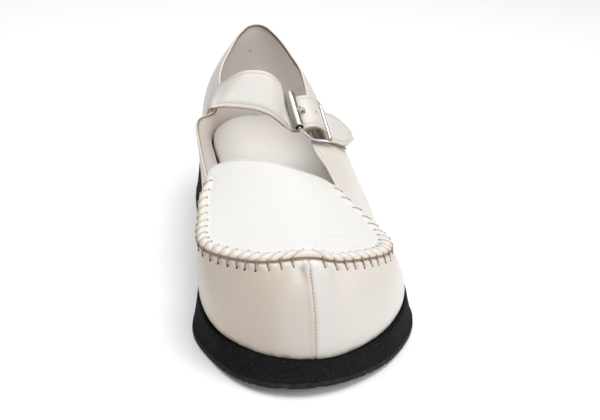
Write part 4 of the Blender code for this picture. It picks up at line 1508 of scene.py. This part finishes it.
def strap_holes(places, grid):
    """Middle, direction and radius of each punched hole."""
    middle = grid[:, grid.shape[1] // 2 - 1:grid.shape[1] // 2 + 1].mean(1)
    normals = grid_normals(grid)[:, grid.shape[1] // 2]
    at_buckle = places > 0.3
    found = []
    for along, radius in STRAP_HOLES:
        miss = np.abs((middle - BUCKLE_CENTRE) @ FRAME_AXIS - along)
        index = int(np.argmin(np.where(at_buckle, miss, inf)))
        found.append((middle[index] - BAR_AXIS * HOLES_FORWARD, normals[index], radius))
    return found


def punch(piece, centre, normal, radius):
    """Cut one round hole through a piece."""
    bm = bmesh.new()
    turn = Vector(normal).to_track_quat("Z", "Y").to_matrix().to_4x4()
    place = Matrix.Translation(Vector((centre + SHIFT) * MM)) @ turn
    bmesh.ops.create_cone(
        bm, cap_ends=True, segments=20, radius1=radius * MM, radius2=radius * MM,
        depth=8 * MM, matrix=place,
    )
    cut_with(piece, bm)


def cut_with(piece, bm):
    """Boolean difference with a form, applied at once."""
    mesh = bpy.data.meshes.new("cutter")
    bmesh.ops.recalc_face_normals(bm, faces=bm.faces)
    bm.to_mesh(mesh)
    bm.free()
    cutter = bpy.data.objects.new("cutter", mesh)
    bpy.context.scene.collection.objects.link(cutter)
    for material in piece.data.materials:
        mesh.materials.append(material)
    modifier = piece.modifiers.new("cut", "BOOLEAN")
    modifier.operation, modifier.solver, modifier.object = "DIFFERENCE", "EXACT", cutter
    depsgraph = bpy.context.evaluated_depsgraph_get()
    result = bpy.data.meshes.new_from_object(piece.evaluated_get(depsgraph))
    piece.modifiers.clear()
    old = piece.data
    piece.data = result
    bpy.data.meshes.remove(old)
    bpy.data.objects.remove(cutter)


def make_strap(materials):
    """Instep strap: crowned, punched and bluntly pointed. Returns its rows of stitches."""
    grid, width, places = strap_grid()
    normal = -grid_normals(grid)
    crown = STRAP_CROWN * smooth(width, 0.0, 5.0)
    crown -= ROW_CHANNEL * bell(width - EDGE_ROW, 0.6)
    edge = 0.30 * np.exp(-width / 0.5)
    top = grid + normal * (STRAP_THICK / 2 - 0.2 + crown - edge)[..., None]
    bottom = grid - normal * (STRAP_THICK / 2 - edge)[..., None]
    cut = np.clip(0.75 * bell(width, 0.9) + 0.2 * bell(width - EDGE_ROW, 0.7), 0, 1)
    blank = Blank()
    shell(blank, top, bottom, (0, 1, 2), bulge=0.1, cut=cut)
    strap = blank.make("strap", materials, "strap_leather", "strap")
    for centre, away, radius in strap_holes(places, grid):
        punch(strap, centre, away, radius)
    rows = []
    last = int(np.flatnonzero(width.max(1) > EDGE_ROW)[-1])
    middle = top.shape[1] // 2
    for order in (slice(None), slice(None, None, -1)):
        sides = zip(width[6:last + 1, order], top[6:last + 1, order])
        path = [read_at(EDGE_ROW, w[:middle], line[:middle]) for w, line in sides]
        rows.append((np.array(path), normal[6:last + 1, order][:, 3]))
    # Two rows across the strap hold its sewn end, and one runs round its tip.
    for station in (12, 18, last):
        inner = width[station] > EDGE_ROW
        rows.append((top[station][inner], normal[station][inner]))
    return rows


def tab_turn(side, up):
    """Turn at which the wall, at one height, lies under a line along the tab."""
    turns = np.linspace(95, 130, 351)
    miss = np.abs((wall_point(turns, up) - BUCKLE_CENTRE) @ BAR_AXIS - side)
    return turns[np.argmin(miss)]


def make_tab(materials, stations=150):
    """Buckle tab, sewn to the quarter and folded round the centre bar."""
    radius = FRAME_WIRE + GAP + TAB_THICK / 2
    bar = -FRAME_SAG
    under = bar - radius
    fold = [(radius * sin(a), bar + radius * cos(a)) for a in np.radians(range(0, -181, -20))]
    path = [*TAB_RISE, *fold, (2.4, under - 0.1), (4.2, under - 0.4)]
    sides = np.linspace(-TAB_WIDTH / 2, TAB_WIDTH / 2, 15)
    lift = GAP + TAB_THICK / 2
    rows = [np.array([above_wall(tab_turn(side, up), up, lift) for side in sides])
            for up in TAB_SEWN]
    rows += [np.array([buckle_point(*place, side) for side in sides]) for place in path]
    rows = np.array(rows)
    middle = rows[:, len(sides) // 2]
    order = np.concatenate([middle, rows.reshape(len(rows), -1)], 1)
    fine = chord_spline(order).at(np.linspace(0, 1, stations))[:, 3:]
    grid = fine.reshape(stations, len(sides), 3)
    normal = grid_normals(grid)
    width = TAB_WIDTH / 2 - np.abs(sides)[None, :] + np.zeros((stations, 1))
    thin = 0.2 * np.exp(-width / 0.5)
    top = grid + normal * (TAB_THICK / 2 - thin)[..., None]
    bottom = grid - normal * (TAB_THICK / 2 - thin)[..., None]
    cut = np.clip(0.7 * bell(width, 0.9), 0, 1)
    blank = Blank()
    shell(blank, top, bottom, (0, 0, 2), bulge=0.1, cut=cut)
    tab = blank.make("buckle_tab", materials, "strap_leather", "buckle_tab")
    bm = bmesh.new()
    bmesh.ops.create_cube(bm, size=1)
    near, far, slot = -4.8, 4.2, 4.6
    length = far - near
    axes = Matrix(np.array([FRAME_AXIS * length, BAR_AXIS * slot, FRAME_NORMAL * 2 * length]))
    centre = Vector((buckle_point((near + far) / 2, bar) + SHIFT) * MM)
    bm.transform(Matrix.Translation(centre) @ (axes.transposed() * MM).to_4x4())
    cut_with(tab, bm)


# ---------------------------------------------------------------- buckle
def arm_height(along):
    """The side arms dip towards the foot between the two outer bars."""
    return -FRAME_SAG * cos(pi * along / FRAME_ACROSS) ** 2


def frame_outline():
    """Middle of the wire, round the four bars and corners of the frame."""
    half_across, half_long = FRAME_ACROSS / 2, FRAME_LONG / 2
    points = []
    for corner in range(4):
        sx, sy = (1, -1, -1, 1)[corner], (1, 1, -1, -1)[corner]
        for step in range(7):
            angle = radians(90 * corner + 15 * step)
            along = sx * (half_across - FRAME_CORNER) + FRAME_CORNER * cos(angle)
            across = sy * (half_long - FRAME_CORNER) + FRAME_CORNER * sin(angle)
            points.append(buckle_point(along, arm_height(along), across))
        if corner in (0, 2):
            reach = half_across - FRAME_CORNER
            for along in np.linspace(sx * reach, -sx * reach, 17)[1:-1]:
                points.append(buckle_point(along, arm_height(along), sy * half_long))
    return np.array(points)


def make_frame(material, wire=0.92):
    """Bright wire frame with its centre bar."""
    blank = Blank()
    blank.add(*sweep(frame_outline(), wire, 16, closed=True, hint=FRAME_NORMAL))
    half_long = FRAME_LONG / 2
    ends = np.linspace(-half_long, half_long, 9)
    blank.add(*sweep([buckle_point(0, -FRAME_SAG, e) for e in ends], wire * 0.9, 14))
    return blank.make("buckle_frame", [material], "buckle_steel", "buckle_frame")


def make_roller(materials, steps=64):
    """Rolled sheet tube on the near bar, open at both ends."""
    half = ROLLER_LONG / 2
    r, b, lip = ROLLER_RADIUS, ROLLER_BORE, 0.28
    profile = [
        (r, -half + lip), (r, -half * 0.5), (r, 0), (r, half * 0.5), (r, half - lip),
        (r - 0.08, half - 0.1), (r - 0.3, half), (b + 0.2, half), (b, half - lip),
        (b, 0), (b, -half + lip), (b + 0.2, -half), (r - 0.3, -half), (r - 0.08, -half + 0.1),
    ]
    angles = np.arange(steps) * 2 * pi / steps
    rings = []
    for radius, across in profile:
        centre = buckle_point(-FRAME_ACROSS / 2, 0, across)
        ring = np.outer(np.cos(angles), FRAME_AXIS) + np.outer(np.sin(angles), FRAME_NORMAL)
        rings.append(centre + ring * radius)
    # A dull film covers the side that lies against the strap.
    # A painted reflection of the strap: the roller's side that faces it is browner and
    # duller.
    side = np.degrees(angles)
    painted_reflection = 0.8 * window(side, 122, 140, 225, 250)
    soil = np.broadcast_to(painted_reflection, (len(profile), steps))
    faces = weave(len(profile), steps, True, True)
    # Faces inside the bore take the near-black hole colour, painted shade of the tube's
    # inside.
    bore_shade = np.isin(np.arange(len(faces)) // steps, (7, 8, 9, 10)).astype(int)
    blank = Blank()
    blank.add(np.array(rings), faces, bore_shade, soil=soil.ravel())
    return blank.make("buckle_roller", materials, "buckle_steel", "buckle_roller", sharp=60)


def make_prong(material):
    """Prong: an eye round the centre bar and a shank that tapers through the strap."""
    radius = FRAME_WIRE + GAP + PRONG_RADIUS
    angles = np.radians(range(215, -26, -12))
    eye = [(radius * sin(a), -FRAME_SAG + radius * cos(a)) for a in angles]
    path = chord_spline([buckle_point(*place) for place in (*eye, *PRONG_SHANK)])
    places = np.linspace(0, 1, 60)
    thick = PRONG_RADIUS - 0.35 * smooth(places, 0.75, 1.0)
    blank = Blank()
    blank.add(*sweep(path.at(places), thick, 12, hint=BAR_AXIS))
    return blank.make("buckle_prong", [material], "buckle_steel", "buckle_prong")


# ---------------------------------------------------------------- insole and sole
def make_insole():
    """Footbed with a soft edge, cupped at the heel, set off the lining at the waist."""
    turns = np.linspace(1.5, 178.5, 150)
    shares = np.sin(np.linspace(-pi / 2, pi / 2, 61))
    lateral = feather_edge(turns) - outward(feather_edge, turns) * 2.5
    medial = feather_edge(360 - turns)
    inset = medial_inset(medial[:, 1])
    medial = medial - outward(feather_edge, 360 - turns) * inset[:, None]
    middle, half = (lateral + medial) / 2, (lateral - medial) / 2
    grid = middle[:, None] + half[:, None] * shares[None, :, None]
    width = np.linalg.norm(half, axis=1)[:, None] * (1 - np.abs(shares))[None, :]
    ends = np.minimum(grid[..., 1] - grid[..., 1].min(), grid[..., 1].max() - grid[..., 1])
    rim = np.minimum(width, ends)
    cup = 0.9 * smooth(grid[..., 1], 20, 80) * (1 - smooth(np.abs(shares)[None, :], 0.0, 0.9))
    top = lifted(grid, foam_top(grid[..., 1]) + GAP + INSOLE - cup - 0.9 * np.exp(-rim / 0.7))
    bottom = lifted(grid, foam_top(grid[..., 1]) + GAP)
    ball_and_heel = bell(grid[..., 1] + 60, 30) + bell(grid[..., 1] - 85, 28)
    rubbed = bell(grid[..., 0] + 2, 16) * ball_and_heel
    # Rubbed at ball and heel; darker round the rim, painted shade of the gap beside the wall.
    soil = np.clip(0.30 * rubbed + 0.25 * np.exp(-rim / 2), 0, 1)
    blank = Blank()
    shell(blank, top, bottom, (0, 0, 0), bulge=0.05, soil=soil)
    return blank


def make_midsole():
    """Foam unit: flared side, rounded shoulder and a ledge round the upper."""
    turns = np.arange(0, 360, 1.0)
    low = sole_edge(turns)
    low[:, 2] = ground(low[:, 1]) + OUTSOLE + 0.02
    high = feather_edge(turns) + outward(feather_edge, turns) * ledge(turns)[:, None]
    high[:, 2] = foam_top(high[:, 1])
    rings = []
    for inward, up in chord_spline(FOAM_SIDE).at(np.linspace(0, 1, 26)):
        ring = low + (high - low) * inward
        ring[:, 2] = low[:, 2] + (high[:, 2] - low[:, 2]) * up
        rings.append(ring)
    blank = Blank()
    count = len(turns)
    faces = [tuple(f) for f in weave(len(rings), count, False, True)]
    for start in (0, (len(rings) - 1) * count):
        for i in range(count // 2):
            corners = (i, i + 1, (-i - 1) % count, -i % count)
            faces.append(tuple(start + corner for corner in dict.fromkeys(corners)))
    blank.add(np.array(rings), faces)
    return blank


def tread_depth(y):
    """Depth of the tread's cuts: main grooves, and two fine ones on each lug."""
    phase = (y - GROOVE_START) % GROOVE_PITCH
    fine = FINE_DEPTH * sum(bell(phase - place, 0.38) for place in FINE_CUTS)
    main = GROOVE_DEPTH * (1 - smooth(np.abs(phase - 0.8), 0.62, 0.85))
    inside = window(y, GROOVE_START - 5, GROOVE_START - 1, GROOVE_END, GROOVE_END + 4)
    return np.maximum(main * inside, fine)


def make_outsole():
    """Thin rubber tread with transverse lugs, cut through at both edges."""
    angles = np.linspace(0.8, 179.2, 260)
    ys = SOLE_MID_Y - SOLE_LENGTH / 2 * np.cos(np.radians(angles))
    starts = np.arange(GROOVE_START, GROOVE_END, GROOVE_PITCH)
    ys = np.unique(np.round(np.concatenate([ys, *(starts + row for row in GROOVE_ROWS)]), 2))
    turn = np.degrees(np.arccos(np.clip((SOLE_MID_Y - ys) / (SOLE_LENGTH / 2), -1, 1)))
    medial, lateral = SOLE_X.at(360 - turn)[:, 0], SOLE_X.at(turn)[:, 0]
    floor, depth = ground(ys), tread_depth(ys)
    shares = np.concatenate([[0.0, 0.006], np.linspace(0.03, 0.97, 12), [0.994, 1.0]])
    rows = []
    for share in shares:
        lip = 0.25 if share in (0.0, 1.0) else 0.0
        x = medial + (lateral - medial) * share
        rows.append(np.stack([x, ys, floor + depth * (0.75 if lip else 1.0) + lip], -1))
    upper_side = ((1.002, 0.5), (1.0, 1.0), (0.5, 1.0), (0.0, 1.0), (-0.002, 0.5))
    for share, up in upper_side:
        x = medial + (lateral - medial) * share
        rows.append(np.stack([x, ys, floor + OUTSOLE * up], -1))
    loop = np.array(rows)
    count, length = len(rows), len(ys)
    faces = [tuple(f) for f in weave(count, length, True, False)]
    faces.append(tuple(range(0, count * length, length)))
    faces.append(tuple(range(length - 1, count * length, length)))
    blank = Blank()
    blank.add(loop, faces)
    return blank


# ---------------------------------------------------------------- operators
class Kept:
    """Surfaces and materials that later pieces are made on."""

    materials = {}
    trees = {}
    apron_top = None


def materials_of(look):
    """The shoe's materials, made once."""
    if not Kept.materials:
        Kept.materials.update(
            leather=leather(look, look.ivory, look.ivory_cool, "ivory_leather"),
            strap=leather(look, look.strap, look.strap_cool, "strap_leather"),
            raw=raw_edge(look.edge, look.edge_dark, "raw_edge"),
            pale=raw_edge(look.edge_pale, look.edge_pale_dark, "painted_edge"),
            collar=raw_edge(look.edge_collar, look.edge_pale_dark, "collar_edge"),
            cord=thread("waxed_cord", look.thread, look.thread_low, look.thread_dark),
            fine=thread("machine_thread", look.fine_thread, *2 * [look.thread_low]),
            cream=thread("cream_thread", *2 * [look.cream_thread], look.thread_low),
            hole=hole(look),
            lining=lining(look), insole=insole_cover(look), foam=foam(look),
            rubber=tread_rubber(look), steel=steel(look),
        )
    return Kept.materials


class Step:
    """One step of the shoe, with the materials and the sizes of its sewing."""

    def execute(self, context):
        scene = context.scene
        self.build(materials_of(scene.shoe_look), scene.shoe_sewing)
        return {"FINISHED"}


class SHOE_OT_wall(Step, bpy.types.Operator):
    """Wall, quarters and lining of the upper"""

    bl_idname = "shoe.wall"
    bl_label = "Wall and lining"

    def build(self, m, sewing):
        blank = make_wall()
        Kept.trees["wall"] = blank.tree()
        finishes = [m["leather"], m["raw"], m["collar"]]
        wall = blank.make("upper_wall", finishes, "upper_leather", "upper")
        if len(wall.data.polygons) < 1000:
            raise RuntimeError("the wall has too few faces")
        lining = make_lining()
        tree = lining.tree()
        lining.make("upper_lining", [m["lining"]], "upper_leather", "upper")
        # A dark disc on the lining, painted shade where its small hole is.
        spot, normal = on_skin(tree, HEEL_HOLE)
        mark = Blank()
        mark.add(*disc(spot, -normal * np.sign(normal[1]), np.array((1.0, 0, 0)), 0.7, 0.6))
        mark.make("lining_hole_shade", [m["hole"]], "upper_leather", sharp=80)


class SHOE_OT_apron(Step, bpy.types.Operator):
    """Apron with its gathered roll and its cut edge"""

    bl_idname = "shoe.apron"
    bl_label = "Apron"

    def build(self, m, sewing):
        blank, top = make_apron()
        Kept.trees["apron"] = blank.tree()
        Kept.apron_top = top
        finishes = [m["leather"], m["lining"], m["raw"], m["pale"]]
        blank.make("upper_apron", finishes, "upper_leather", "upper")


class SHOE_OT_whip_stitches(Step, bpy.types.Operator):
    """Cords of the apron seam and discs of painted shade for their holes"""

    bl_idname = "shoe.whip_stitches"
    bl_label = "Whip stitches"

    def build(self, m, sewing):
        if not {"apron", "wall"} <= set(Kept.trees):
            raise RuntimeError("the wall and the apron come before their stitches")
        cords, holes = make_whip_stitches(Kept.trees["apron"], Kept.trees["wall"], sewing)
        cords.make("whip_stitches", [m["cord"]], "upper_leather", sharp=80)
        holes.make("whip_stitch_hole_shades", [m["hole"]], "upper_leather", sharp=80)


class SHOE_OT_machine_rows(Step, bpy.types.Operator):
    """Machine stitches of collar, throat and toe"""

    bl_idname = "shoe.machine_rows"
    bl_label = "Machine stitches"

    def build(self, m, sewing):
        rows = Blank()
        pitch, thread_radius = sewing.pitch, sewing.thread
        sewn_row(rows, *collar_row(), pitch, COLLAR_STITCH * pitch, thread_radius)
        rows.make("collar_stitches", [m["cream"]], "upper_leather", sharp=80)
        rows = Blank()
        stitched = {THROAT_STITCH: throat_row(Kept.apron_top), TOE_STITCH: front_row()}
        for kind, row in stitched.items():
            radius = thread_radius * kind.thick
            sewn_row(rows, *row, kind.pitch, kind.length, radius, kind.low)
        rows.make("machine_stitches", [m["fine"]], "upper_leather", sharp=80)


class SHOE_OT_strap(Step, bpy.types.Operator):
    """Strap with its stitched edges, and the buckle's tab"""

    bl_idname = "shoe.strap"
    bl_label = "Strap and tab"

    def build(self, m, sewing):
        stitches, kind = Blank(), STRAP_STITCH
        for path, normals in make_strap([m["strap"], m["lining"], m["pale"]]):
            radius = sewing.thread * kind.thick
            sewn_row(stitches, path, normals, kind.pitch, kind.length, radius)
        stitches.make("strap_stitches", [m["fine"]], "strap_leather", sharp=80)
        make_tab([m["strap"], m["lining"], m["raw"]])


class SHOE_OT_buckle(Step, bpy.types.Operator):
    """Wire frame, roller and prong of the buckle"""

    bl_idname = "shoe.buckle"
    bl_label = "Buckle"

    def build(self, m, sewing):
        make_frame(m["steel"])
        make_roller([m["steel"], m["hole"]])
        make_prong(m["steel"])


class SHOE_OT_sole(Step, bpy.types.Operator):
    """Insole, foam unit and rubber tread"""

    bl_idname = "shoe.sole"
    bl_label = "Insole and sole"

    def build(self, m, sewing):
        make_insole().make("insole", [m["insole"]], "insole_cover", "insole")
        make_midsole().make("midsole", [m["foam"]], "sole_foam", "midsole")
        make_outsole().make("outsole", [m["rubber"]], "tread_rubber", "outsole", sharp=30)


# Softboxes: places and widths in m, power in W.
LAMPS = table(
    "name x y z width power",
    ("overhead", 0.0, 0.0, 1.2, 1.0, 13.3),
    ("front", 0.0, -0.75, 1.0, 0.8, 2.9),
    ("lateral", 0.9, -0.8, 0.5, 0.6, 3.9),
    ("back", 0.0, 0.9, 0.9, 0.8, 2.0),
)
LAMPS_AIM = Vector((0, -0.02, 0.05))
DARK_WALL = 0.14        # light of the medial wall against the lateral one
FLOOR_SIZE = 12
FLOOR_GLOW = 0.10
CAMERA_AT = Vector((-90.5, -640.4, 321.0))      # in the last's axes
CAMERA_PITCH = radians(90 - 24.6)
CAMERA_YAW = radians(-3.786)


class SHOE_OT_stage(bpy.types.Operator):
    """Pale floor, soft studio light and the camera"""

    bl_idname = "shoe.stage"
    bl_label = "Stage"

    def execute(self, context):
        stage = context.scene.shoe_stage
        context.scene.view_settings.view_transform = "Standard"
        self.floor()
        for lamp in LAMPS:
            place = Vector((lamp.x, lamp.y, lamp.z))
            self.light(lamp.name, place, lamp.width, lamp.power * stage.light)
        self.surroundings(context, stage.air)
        self.camera(context, stage)
        return {"FINISHED"}

    def surroundings(self, context, air):
        """Dim room with a pale wall on the lateral side."""
        world = bpy.data.worlds.new("surroundings")
        world.use_nodes = True
        nodes, links = world.node_tree.nodes, world.node_tree.links
        split = nodes.new("ShaderNodeSeparateXYZ")
        fade = nodes.new("ShaderNodeMapRange")
        fade.interpolation_type = "SMOOTHSTEP"
        fade.inputs["To Min"].default_value = DARK_WALL
        links.new(nodes.new("ShaderNodeTexCoord").outputs["Generated"], split.inputs[0])
        links.new(split.outputs["X"], fade.inputs["Value"])
        links.new(fade.outputs["Result"], nodes["Background"].inputs["Color"])
        nodes["Background"].inputs["Strength"].default_value = air
        context.scene.world = world

    def floor(self):
        recipe = Recipe("pale_floor")
        recipe.finish(Base_Color=(0.95, 0.95, 0.95), Roughness=0.9)
        recipe.shader.inputs["Emission Color"].default_value = (1, 1, 1, 1)
        recipe.shader.inputs["Emission Strength"].default_value = FLOOR_GLOW
        bpy.ops.mesh.primitive_plane_add(size=FLOOR_SIZE)
        floor = bpy.context.object
        floor.name = "floor"
        floor.data.materials.append(recipe.material)

    def light(self, name, place, width, power):
        data = bpy.data.lights.new(name, "AREA")
        data.shape, data.size, data.energy = "SQUARE", width, power
        light = bpy.data.objects.new(name, data)
        light.location = place
        away = LAMPS_AIM - place
        light.rotation_euler = away.to_track_quat("-Z", "Y").to_euler()
        bpy.context.scene.collection.objects.link(light)

    def camera(self, context, stage):
        data = bpy.data.cameras.new("camera")
        data.lens, data.sensor_width = stage.lens, 36.0
        camera = bpy.data.objects.new("camera", data)
        turn = Euler((CAMERA_PITCH, 0, CAMERA_YAW)).to_matrix()
        turn = turn @ Matrix.Rotation(stage.pan, 3, "Y") @ Matrix.Rotation(stage.tilt, 3, "X")
        place = Matrix.Translation((CAMERA_AT + Vector(SHIFT)) * MM)
        camera.matrix_world = place @ turn.to_4x4()
        context.scene.collection.objects.link(camera)
        context.scene.camera = camera


OPERATORS = (
    SHOE_OT_wall, SHOE_OT_apron, SHOE_OT_whip_stitches, SHOE_OT_machine_rows, SHOE_OT_strap,
    SHOE_OT_buckle, SHOE_OT_sole, SHOE_OT_stage,
)


class SHOE_PT_pieces(bpy.types.Panel):
    """Every step of the shoe, in order"""

    bl_label = "Mary Jane"
    bl_idname = "SHOE_PT_pieces"
    bl_space_type = "VIEW_3D"
    bl_region_type = "UI"
    bl_category = "Shoe"

    def draw(self, context):
        for operator in OPERATORS:
            self.layout.operator(operator.bl_idname)


GROUPS = {"shoe_look": ShoeLook, "shoe_sewing": ShoeSewing, "shoe_stage": ShoeStage}
CLASSES = (*GROUPS.values(), *OPERATORS, SHOE_PT_pieces)


def register():
    for cls in CLASSES:
        bpy.utils.register_class(cls)
    for name, group in GROUPS.items():
        setattr(bpy.types.Scene, name, PointerProperty(type=group))


def unregister():
    for name in GROUPS:
        delattr(bpy.types.Scene, name)
    for cls in reversed(CLASSES):
        bpy.utils.unregister_class(cls)


def main():
    register()
    for operator in OPERATORS:
        group, step = operator.bl_idname.split(".")
        getattr(getattr(bpy.ops, group), step)()
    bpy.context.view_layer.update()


if __name__ == "__main__":
    main()
